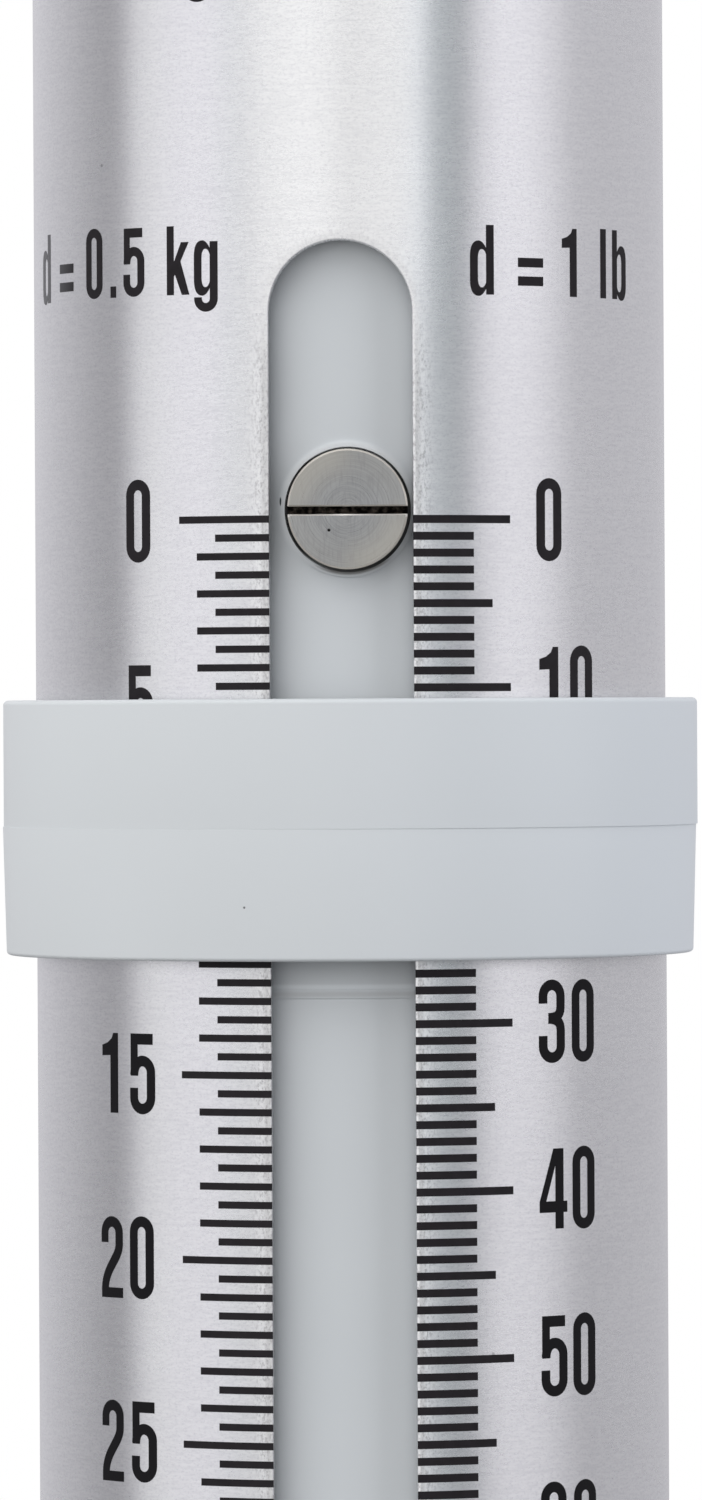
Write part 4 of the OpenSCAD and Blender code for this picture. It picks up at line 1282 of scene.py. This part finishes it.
# Drag ring: two moulded halves that meet in a faint parting line
def makeDragRing():
    shape = {
        "clear": 0.35,  # between the bore and the tube
        "boreRound": 0.15,
        "topEdge": 0.3,
        "lowEdge": 0.24,
        "draft": 0.22,
        "partingStep": 0.018,
        "partingBreak": 0.012,
        "groove": 2.6,
        "grooveR": 20.0,
        "lip": 0.12,  # the lower face's rim stands this much lower
        "lipStep": (1.0, 0.9),  # where the step to it lies, in from the outside
        "lipRound": 0.1,
        "upperShift": -0.04,
        "lowerShift": -0.11,
    }
    upperLow, upperHigh = boxMm("ring_upper_half")
    middle, top, outR = upperLow.z, upperHigh.z, upperHigh.x
    bottom = boxMm("ring_lower_half")[0].z
    rim = bottom - shape["lip"]
    boreR, boreRound, grooveR = tubeR + shape["clear"], shape["boreRound"], shape["grooveR"]
    stepIn, stepOut = (outR - inward for inward in shape["lipStep"])
    upper = rounded([
        (boreR, top, boreRound), (boreR, middle + shape["groove"]), (grooveR, middle + shape["groove"]),
        (grooveR, middle), (outR, middle, shape["partingBreak"]), (outR, top, shape["topEdge"])], 8)
    lower = rounded([
        (boreR, bottom, boreRound), (stepIn, bottom, shape["lipRound"]), (stepOut, rim, shape["lipRound"]),
        (outR - shape["draft"], rim, shape["lowEdge"]),
        (outR - shape["partingStep"], middle, shape["partingBreak"]), (grooveR, middle),
        (grooveR, middle - shape["groove"]), (boreR, middle - shape["groove"])], 8)
    for name, line, shift, node in (("drag_ring_upper", upper, shape["upperShift"], "ring_upper_half"),
                                    ("drag_ring_lower", lower, shape["lowerShift"], "ring_lower_half")):
        half = moved(turned(line, 256), Matrix.Translation((shift, 0, 0)))
        makePiece(name, half, ringPlastic, "drag_ring", (node,), 40)


makeDragRing()
print("scene: pointer screw and drag ring made")


# A line in the XZ plane through square corners (x, z, bend radius), with its bends drawn out
def bentPath(corners, lead=0.6, steps=16):
    out = [corners[0][:2]]
    for i in range(1, len(corners) - 1):
        here = Vector(corners[i][:2])
        back = (Vector(corners[i - 1][:2]) - here).normalized()
        ahead = (Vector(corners[i + 1][:2]) - here).normalized()
        bend = corners[i][2]
        centre = here + (back + ahead) * bend
        out.append(here + back * (bend + lead))
        for angle in spaced(0, math.pi / 2, steps):
            out.append(centre - (ahead * math.cos(angle) + back * math.sin(angle)) * bend)
        out.append(here + ahead * (bend + lead))
    out.append(corners[-1][:2])
    return [Vector((x, 0, z)) for x, z in out]


# Bail: a steel rod bent square, whose feet turn in to the cap
def makeBail():
    shape = {"rodR": 3.0, "footBend": 22.0, "gripBend": 9.0, "reach": 8.0}
    low, high = boxMm("bail")
    half, pivotZ = high.x - shape["rodR"], low.z + shape["rodR"]
    foot = boxMm("top_cap")[1].x - shape["reach"]
    footBend, gripBend = shape["footBend"], shape["gripBend"]
    line = bentPath([(foot, pivotZ), (half, pivotZ, footBend), (half, 0, gripBend),
                     (-half, 0, gripBend), (-half, pivotZ, footBend), (-foot, pivotZ)])
    solid = swept(line, [Vector((0, 1, 0))] * len(line), circleSection(shape["rodR"], 40))
    makePiece("bail_rod", solid, bailSteel, "handle", ("bail",), 50)


# Hand grip: beads at its ends and a crown in its middle
def makeGrip():
    shape = {
        "waistR": 9.5,
        "waistAt": 0.62,  # as a share of the grip's half length
        "crown": 1.2,
        "flare": 0.62,  # how much wider the waist is where it meets the bead
        "beadR": 11.5,
        "bead": 2.5,
        "beadFrom": 152,  # degrees round the bead
        "beadMeets": 0.88,
        "boreClear": 0.1,
        "lip": 0.5,
    }
    half = boxMm("handle_grip")[1].x
    waistR, bead = shape["waistR"], shape["bead"]
    waistX, centre = half * shape["waistAt"], half - bead
    shoulder = centre - bead * shape["beadMeets"]
    outer = []
    for part in spaced(0, 1, 12):
        outer.append((waistR + shape["crown"] * (1 + math.cos(math.pi * part)) / 2, waistX * part))
    for part in spaced(0, 1, 8)[1:]:
        radius = waistR + shape["flare"] * (1 - math.cos(math.pi / 2 * part))
        outer.append((radius, waistX + (shoulder - waistX) * part))
    for angle in spaced(math.radians(shape["beadFrom"]), 0, 16):
        along, out = polar(bead, angle)
        outer.append((shape["beadR"] - bead + out, centre + along))
    boreR = boxMm("bail")[1].y + shape["boreClear"]
    outer += [(boreR + shape["lip"], half), (boreR, half - shape["lip"])]
    profile = outer + [(r, -x) for r, x in reversed(outer) if x]
    solid = moved(turned(profile, 96), Matrix.Rotation(math.pi / 2, 4, "Y"))
    makePiece("handle_grip_moulded", solid, gripPlastic, "handle", ("handle_grip",), 40)


# Tare knob: a fluted wheel with a shallow ring sunk in its top
def makeTareKnob():
    shape = {
        "flutes": 24,
        "stepsInFlute": 16,
        "fluteR": 1.2,
        "fluteOut": 0.5,  # how far a flute's centre lies outside the rim
        "fluteDepth": 1.9,  # how far in from the rim a flute reaches
        "fluteFade": 1.2,
        "edge": 1.2,
        "ringSunk": 0.35,
        "ringOuter": (2.6, 2.9),  # the ring's outer wall above and below, in from the rim
        "ringInner": (0.7, 1.0),  # its inner wall, out from the bore
        "ringRound": 0.2,
        "smallRound": 0.15,
        "boreClear": 0.1,
    }
    low, high = boxMm("tare_knob")
    outR, top = high.x, high.z
    boreR = boxMm("tare_knob_insert")[1].x + shape["boreClear"]
    sunk = top - shape["ringSunk"]
    (outerTop, outerLow), (innerTop, innerLow) = shape["ringOuter"], shape["ringInner"]
    small = shape["smallRound"]
    profile = rounded([
        (boreR, low.z, small), (outR, low.z, shape["edge"]), (outR, top, shape["edge"]),
        (outR - outerTop, top, shape["ringRound"]), (outR - outerLow, sunk, small),
        (boreR + innerLow, sunk, small), (boreR + innerTop, top, small), (boreR, top, small)], 6)

    def fluted(radius, step):
        place = (step % shape["stepsInFlute"]) / shape["stepsInFlute"] - 0.5
        off = abs(place) * 2 * math.pi * outR / shape["flutes"]
        deep = max(0.0, math.sqrt(max(shape["fluteR"] ** 2 - off * off, 0)) - shape["fluteOut"])
        share = min(max((radius - outR + shape["fluteDepth"]) / shape["fluteFade"], 0), 1)
        return radius - deep * share * share * (3 - 2 * share)

    solid = turned(profile, shape["flutes"] * shape["stepsInFlute"], fluted)
    makePiece("tare_knob_fluted", solid, knobPlastic, "tare_knob_set", ("tare_knob",), 50)


# Tare spindle: a trapezoidal thread on its upper part
def makeTareSpindle():
    shape = {
        "pitch": 3.0,
        "rootR": 3.5,
        "crest": 0.183,  # half of a crest's width, in pitches
        "flank": 0.134,
        "threaded": 20.0,
        "chamfer": 1.0,
        "plainIn": 0.1,  # the plain part is this much thinner in radius
        "runOut": 0.5,
        "neckR": 4.0,
        "sides": 72,
        "rise": 0.125,  # between the mesh's rows in the thread
    }
    low, high = boxMm("tare_spindle")
    outR, top = high.x, high.z
    plainR, threadZ, sides = outR - shape["plainIn"], top - shape["threaded"], shape["sides"]
    plugTop = boxMm("upper_spring_plug")[1].z
    levels = [(shape["neckR"], low.z), (shape["neckR"], plugTop), (plainR, plugTop),
              (plainR, threadZ - shape["runOut"])]
    rings = [[(*point, z) for point in circleSection(r, sides)] for r, z in levels]
    for z in spaced(threadZ, top, int(shape["threaded"] / shape["rise"])):
        ring = []
        for k in range(sides):
            place = ((z - top) / shape["pitch"] - k / sides) % 1.0
            tooth = min(max((abs(place - 0.5) - shape["crest"]) / shape["flank"], 0), 1)
            radius = min(outR - (outR - shape["rootR"]) * tooth, outR - max(0, z - top + shape["chamfer"]))
            ring.append((*polar(radius, 2 * math.pi * k / sides), z))
        rings.append(ring)
    makePiece("tare_spindle_threaded", joined(rings), spindleSteel, "spindle_set",
              ("tare_spindle",))


# Load spring: one round wire whose ends turn into the two plugs
def makeLoadSpring():
    shape = {"wireR": 2.0, "turns": 54, "endBend": 5.0, "stepsInTurn": 24, "sides": 12}
    low, high = boxMm("load_spring")
    wire, bend = 2 * shape["wireR"], shape["endBend"]
    coilR = high.x - shape["wireR"]
    rise = wire + bend

    def endBend(base, z, side):
        back = side * bend / coilR
        points = [(base - back, z)]
        for angle in spaced(0, math.pi / 2, 8)[:-1]:
            points.append((base - back * math.cos(angle), z + side * (wire + bend * math.sin(angle))))
        return points

    steps, lastAngle = shape["turns"] * shape["stepsInTurn"], 2 * math.pi * shape["turns"]
    path = endBend(0, low.z, 1)
    path += zip(spaced(0, lastAngle, steps), spaced(low.z + rise, high.z - rise, steps))
    path += reversed(endBend(lastAngle, high.z, -1))
    line = [Vector((*polar(coilR, angle), z)) for angle, z in path]
    across = [Vector((*polar(1, angle), 0)) for angle, z in path]
    solid = swept(line, across, circleSection(shape["wireR"], shape["sides"]))
    spring = makePiece("load_spring_wound", solid, springSteel, None, ("load_spring",), 60)
    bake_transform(spring)


# Hook: forged in one with its neck and collar
def makeHook():
    shape = {
        "midR": 17.0,
        "half": 4.0,
        "squareness": 3.4,  # 2 makes the section round
        "sides": 40,
        "arc": (74, 360),  # degrees, from the heel beside the neck round to the point
        "arcSteps": 72,
        "heelSteps": 5,  # steps of the arc over which the heel rounds up
        "heelLeast": 0.05,
        "flatness": (0.94, 0.06),  # depth against width at the arc's ends, and what its middle gains
        "thinFrom": 0.72,  # share of the arc
        "thinCurve": 1.5,
        "tipShare": 0.8,  # size of the point against the arc
        "tipFlat": 0.95,
        "tipHigh": 5.5,
        "tipLeast": 0.04,
        "neckR": 3.8,
        "neckTaper": 0.1,
        "neckRound": 1.2,
        "neckInto": (1.5, 0.6),  # how far the neck reaches into the arc and into the collar
        "collarR": 7.5,
        "collarH": 3.0,
        "collarRounds": (0.7, 0.3),
        "shankChamfer": 0.8,
        "gap": 0.3,
        "voxel": 0.32,
        "smooth": (0.5, 14),  # strength and rounds
    }
    low, high = boxMm("load_hook")
    midR, half, tipShare = shape["midR"], shape["half"], shape["tipShare"]
    middle = low.z + midR + half
    collarTop = boxMm("end_plug")[0].z - shape["gap"]
    collarLow = collarTop - shape["collarH"]
    section = []
    for c, s in circleSection(1.0, shape["sides"]):
        power = shape["squareness"]
        reach = half / (abs(c) ** power + abs(s) ** power) ** (1 / power)
        section.append((reach * c, reach * s))

    line, sizes = [], []

    def add(x, z, size, flat):
        line.append(Vector((x, 0, z)))
        sizes.append((size, size * flat))

    first, last = shape["arc"]
    for k, part in enumerate(spaced(0, 1, shape["arcSteps"])):
        x, z = polar(midR, math.radians(first + (last - first) * part))
        heel = max(math.sqrt(1 - max(0, 1 - k / shape["heelSteps"]) ** 2), shape["heelLeast"])
        thinned = max(0, (part - shape["thinFrom"]) / (1 - shape["thinFrom"])) ** shape["thinCurve"]
        flat = shape["flatness"][0] + shape["flatness"][1] * math.sin(math.pi * part)
        add(x, middle + z, heel * (1 - (1 - tipShare) * thinned), flat)
    for rise in spaced(0, shape["tipHigh"], 3)[1:]:
        add(midR, middle + rise, tipShare, shape["tipFlat"])
    for angle in spaced(0, math.pi / 2, 8)[1:]:
        width, rise = polar(1, angle)
        add(midR, middle + shape["tipHigh"] + half * rise, max(width, shape["tipLeast"]) * tipShare,
            shape["tipFlat"])

    neckR = shape["neckR"]
    neckLow, neckTop = middle + midR - shape["neckInto"][0], collarLow + shape["neckInto"][1]
    neck = turned(rounded([
        (0, neckTop), (0, neckLow), (neckR - shape["neckTaper"], neckLow, shape["neckRound"]),
        (neckR, neckTop)], 4), 48)
    bow = swept(line, [Vector((0, 1, 0))] * len(line), section, sizes)
    blank = makePiece("hookBlank", together(bow, neck), hookSteel, None)
    remesh = blank.modifiers.new("forge", "REMESH")
    remesh.mode = "VOXEL"
    remesh.voxel_size = shape["voxel"] * mm
    soften = blank.modifiers.new("soften", "SMOOTH")
    soften.factor, soften.iterations = shape["smooth"]
    bakeModifiers(blank)
    forged = contentsOf(blank.data, mm)
    bpy.data.objects.remove(blank)
    collarR, (lowRound, topRound), chamfer = shape["collarR"], shape["collarRounds"], shape["shankChamfer"]
    shank = turned(rounded([
        (0, collarLow), (collarR, collarLow, lowRound), (collarR, collarTop, topRound), (half, collarTop),
        (half, high.z - chamfer), (half - chamfer, high.z), (0, high.z)], 5), 96)
    makePiece("load_hook_forged", together(forged, shank), hookSteel, "hook_set",
              ("load_hook",), 50)


makeBail()
makeGrip()
makeTareKnob()
makeTareSpindle()
makeLoadSpring()
makeHook()
print("scene: handle, knob, spindle, spring and hook made")


# Carried-over pieces that only need their finish
finishes = {
    "inner_tube": innerPlastic, "guide_ring": guideAcetal, "ring_friction_clip": clipSteel,
    "top_cap": capPlastic, "cap_screws": screwSteel, "pivot_bushes": bushAcetal,
    "tare_knob_insert": insertBrass, "tare_washer": screwSteel,
    "spindle_key": screwSteel, "upper_spring_plug": plugSteel, "spindle_nut": screwSteel,
    "lower_spring_plug": plugSteel, "bottom_collar": capPlastic, "collar_screws": screwSteel,
    "end_plug": endPlastic, "end_plug_screws": screwSteel, "buffer_ring": bufferRubber,
    "thrust_washer": insertBrass, "hook_nut": screwSteel, "split_pin": screwSteel,
}
for nodeName, material in finishes.items():
    nodes[nodeName].data.materials.clear()
    nodes[nodeName].data.materials.append(material)


# World: white behind the object, pale studio panels in the metal, soft light that wraps round from behind
def makeWorld():
    look = {
        "soft": 0.5,
        "softFromPanels": 0.45,
        "softFromBehind": 0.45,
        "softLeast": 0.05,
        "softTint": (0.94, 0.97, 1.06, 1),
        "softTintFrom": (0.2, 0.95),  # toward the right
        # Each stop is a height of the direction, or an azimuth from the front in degrees, and its level
        "softLevels": [  # little light from below, most from just above the horizon
            (-1.0, 0.35), (-0.3, 0.5), (-0.05, 0.75), (0.0, 1.5), (0.3, 1.55), (0.4, 1.1), (0.6, 1.15),
            (0.75, 1.2), (1.0, 0.7)],
        "panels": [
            (-180, 0.62), (-140, 0.56), (-121, 0.49), (-106, 0.41), (-95, 0.365), (-89, 0.435), (-81, 0.77),
            (-71, 0.85), (-54, 0.84), (-44, 0.76), (-36, 0.71), (-29, 0.84), (-20, 0.96), (-12, 1.02),
            (-5, 0.99), (2, 0.87), (9, 0.94), (19, 0.94), (27, 0.94), (32, 0.53), (43, 0.39), (51, 0.73),
            (59, 0.85), (72, 0.82), (83, 0.68), (92, 0.54), (104, 0.52), (160, 0.52), (180, 0.58)],
        "slope": [  # how much brighter the panels are higher up
            (-180, 0.9), (-70, 0.9), (-60, 1.25), (-52, 1.2), (-46, 1.05), (-42, 1.3), (-37, 2.0), (-32, 2.4),
            (-27, 1.5), (-22, 0.8), (-10, 0.5), (10, 0.5), (22, 1.2), (28.5, 2.8), (32, 2.3), (36, 2.1),
            (44, 2.0), (49, 2.15), (70, 2.15), (85, 1.9), (98, 2.0), (115, 1.3), (140, 0.9), (180, 0.9)],
        "tint": [
            (-180, (1.01, 1, 1.05)), (-90, (1.01, 1, 1.05)), (-76, (1, 1, 1.02)), (-64, (1.01, 1, 1.045)),
            (-50, (1.01, 1, 1.045)), (-42, (0.985, 1, 1.025)), (-34, (1, 1, 1.01)), (-25, (1, 1, 1)),
            (20, (1, 1, 1)), (30, (0.96, 1, 1.04)), (37, (0.93, 1, 1.04)), (44, (0.97, 1, 1.045)),
            (51, (1.01, 1, 1.045)), (180, (1.01, 1, 1.05))],
        "levels": [  # dim ground, the panels, a dark gap and the ceiling light
            (-1.0, 0.6), (-0.6, 0.6), (-0.44, 1.0), (0.36, 1.0), (0.46, 0.3), (0.56, 0.3), (0.64, 1.5),
            (1.0, 1.7)],
        "slopeEnds": (0.32, 0.55),  # heights between which the slope fades
        "upperLeft": (-0.5, -0.6, 0.62),
        "upperLeftEdge": (0.9, 0.97),
        "upperLeftLight": 0.7,
    }
    world = bpy.data.worlds.new("studio")
    scene.world = world
    world.use_nodes = True
    tree = world.node_tree
    tree.nodes.clear()
    direction = put(tree, "ShaderNodeTexCoord").outputs["Generated"]
    x, y, z = split(tree, direction)

    def stepped(value, stops, spread):
        node = put(tree, "ShaderNodeValToRGB", {"Fac": plus(tree, 0.5, value, spread)})
        elements = node.color_ramp.elements
        while len(elements) < len(stops):
            elements.new(0.5)
        for element, (at, level) in zip(elements, stops):
            element.position = at
            element.color = (*(level if isinstance(level, tuple) else (level,) * 3), 1.0)
        return node.outputs[0]

    azimuth = calc(tree, "ARCTAN2", x, times(tree, y, -1.0))

    def byAzimuth(name):
        stops = [((degrees + 180) / 360, level) for degrees, level in look[name]]
        return stepped(azimuth, stops, 0.5 / math.pi)

    def byHeight(name):
        return stepped(z, [((height + 1) / 2, level) for height, level in look[name]], 0.5)

    panels = blend(tree, 1.0, byAzimuth("panels"), byAzimuth("tint"), "MULTIPLY")
    height = times(tree, z, ramp(tree, calc(tree, "ABSOLUTE", z), *look["slopeEnds"], 1.0, 0.0))
    levels = times(tree, byHeight("levels"), plus(tree, 1.0, byAzimuth("slope"), height))
    corner = vectorCalc(tree, "DOT_PRODUCT", direction, look["upperLeft"])
    corner = ramp(tree, corner, *look["upperLeftEdge"], 0.0, look["upperLeftLight"])
    shining = calc(tree, "ADD", levels, corner)
    soft = plus(tree, look["soft"], y, look["softFromBehind"])
    soft = times(tree, plus(tree, soft, panels, look["softFromPanels"]), byHeight("softLevels"))
    soft = calc(tree, "MAXIMUM", soft, look["softLeast"])
    softColour = blend(tree, ramp(tree, x, *look["softTintFrom"]), (1, 1, 1, 1), look["softTint"])
    ambient = put(tree, "ShaderNodeBackground", {"Color": softColour, "Strength": soft})
    studio = put(tree, "ShaderNodeBackground", {"Color": panels, "Strength": shining})
    white = put(tree, "ShaderNodeBackground", {"Color": (1, 1, 1, 1), "Strength": 1.0})
    path = put(tree, "ShaderNodeLightPath")
    shiny = calc(tree, "MAXIMUM", path.outputs["Is Glossy Ray"], path.outputs["Is Transmission Ray"])
    seen = mixShader(tree, path.outputs["Is Camera Ray"], mixShader(tree, shiny, ambient, studio), white)
    put(tree, "ShaderNodeOutputWorld", {0: seen.outputs[0]})


def mixShader(tree, factor, first, second):
    return put(tree, "ShaderNodeMixShader", {0: factor, 1: first.outputs[0], 2: second.outputs[0]})


def makeLamp(name, place, size, watts, colour=(1, 1, 1)):
    light = bpy.data.lights.new(name, "AREA")
    light.energy = watts
    light.size = size
    light.color = colour
    lamp = bpy.data.objects.new(name, light)
    scene.collection.objects.link(lamp)
    lamp.location = place
    aim = Vector((0, 0, zeroZ * mm))
    lamp.rotation_euler = (aim - Vector(place)).to_track_quat("-Z", "Y").to_euler()
    lamp.visible_glossy = False
    lamp.visible_camera = False


makeWorld()
makeLamp("keyLamp", (-0.33, -0.44, 0.04), 0.75, 2.4)
makeLamp("frontLamp", (-0.14, -0.5, 0.2), 0.7, 0.25)
makeLamp("fillLamp", (0.75, -0.28, -0.2), 0.5, 1.8, (0.95, 0.97, 1.0))


# Pale floor under the hanging hook, fading into the white background
def makeFloor():
    look = {
        "below": 150.0,  # clear of the full load travel
        "radius": 2200.0,
        "fade": (250.0, 800.0),
        "tone": rgb(240, 240, 240),
        "roughness": 0.7,
    }
    sides = 96
    z = cadBounds[0].z / mm - look["below"]
    points = [(0, 0, z)] + [(*point, z) for point in circleSection(look["radius"], sides)]
    faces = [(0, k + 1, (k + 1) % sides + 1) for k in range(sides)]
    material, tree, shader, place = startMaterial("paleFloor")
    shader.inputs["Base Color"].default_value = look["tone"]
    shader.inputs["Roughness"].default_value = look["roughness"]
    axes = split(tree, place)
    far = radiusOf(tree, axes["X"], axes["Y"])
    path = put(tree, "ShaderNodeLightPath")
    fade = times(tree, ramp(tree, far, *look["fade"]), path.outputs["Is Camera Ray"])
    white = put(tree, "ShaderNodeEmission", {"Color": (1, 1, 1, 1), "Strength": 1.0})
    under = put(tree, "ShaderNodeNewGeometry").outputs["Backfacing"]
    clear = put(tree, "ShaderNodeBsdfTransparent")
    mixed = mixShader(tree, under, mixShader(tree, fade, shader, white), clear)
    tree.links.new(mixed.outputs[0], tree.nodes["Material Output"].inputs["Surface"])
    floor = makePiece("studioFloor", (points, faces), material, None)
    if floor.data.polygons[0].normal.z < 0:
        floor.data.flip_normals()
    floor.visible_diffuse = False
    floor.visible_glossy = False


makeFloor()


# Camera at the photograph's view; the image is 702 by 1500
def makeCamera():
    view = {
        "distance": 550.0,
        "focal": 9101.6,  # in pixels of the photograph
        "imageHeight": 1500,
        "belowZero": 11.49,
        "turn": 1.59,
        "pitch": -0.218,
        "roll": -0.282,
    }
    pitch, roll = math.radians(view["pitch"]), math.radians(view["roll"])
    ahead = Vector((0, math.cos(pitch), math.sin(pitch)))
    right = Vector((1, 0, 0))
    up = right.cross(ahead)
    rolledRight = right * math.cos(roll) + up * math.sin(roll)
    rolledUp = up * math.cos(roll) - right * math.sin(roll)
    turn = Matrix.Rotation(math.radians(view["turn"]), 4, "Z")
    axes = Matrix((rolledRight, rolledUp, -ahead)).transposed().to_4x4()
    place = Matrix.Translation((0, -view["distance"] * mm, (zeroZ - view["belowZero"]) * mm))
    data = bpy.data.cameras.new("camera")
    data.sensor_fit = "VERTICAL"
    data.sensor_height = data.sensor_width = 36.0
    data.lens = view["focal"] / view["imageHeight"] * data.sensor_height
    data.clip_start, data.clip_end = 0.05, 20.0
    camera = bpy.data.objects.new("camera", data)
    scene.collection.objects.link(camera)
    camera.matrix_world = turn @ place @ axes
    scene.camera = camera


makeCamera()
print("scene: world, lamps, floor and camera made")
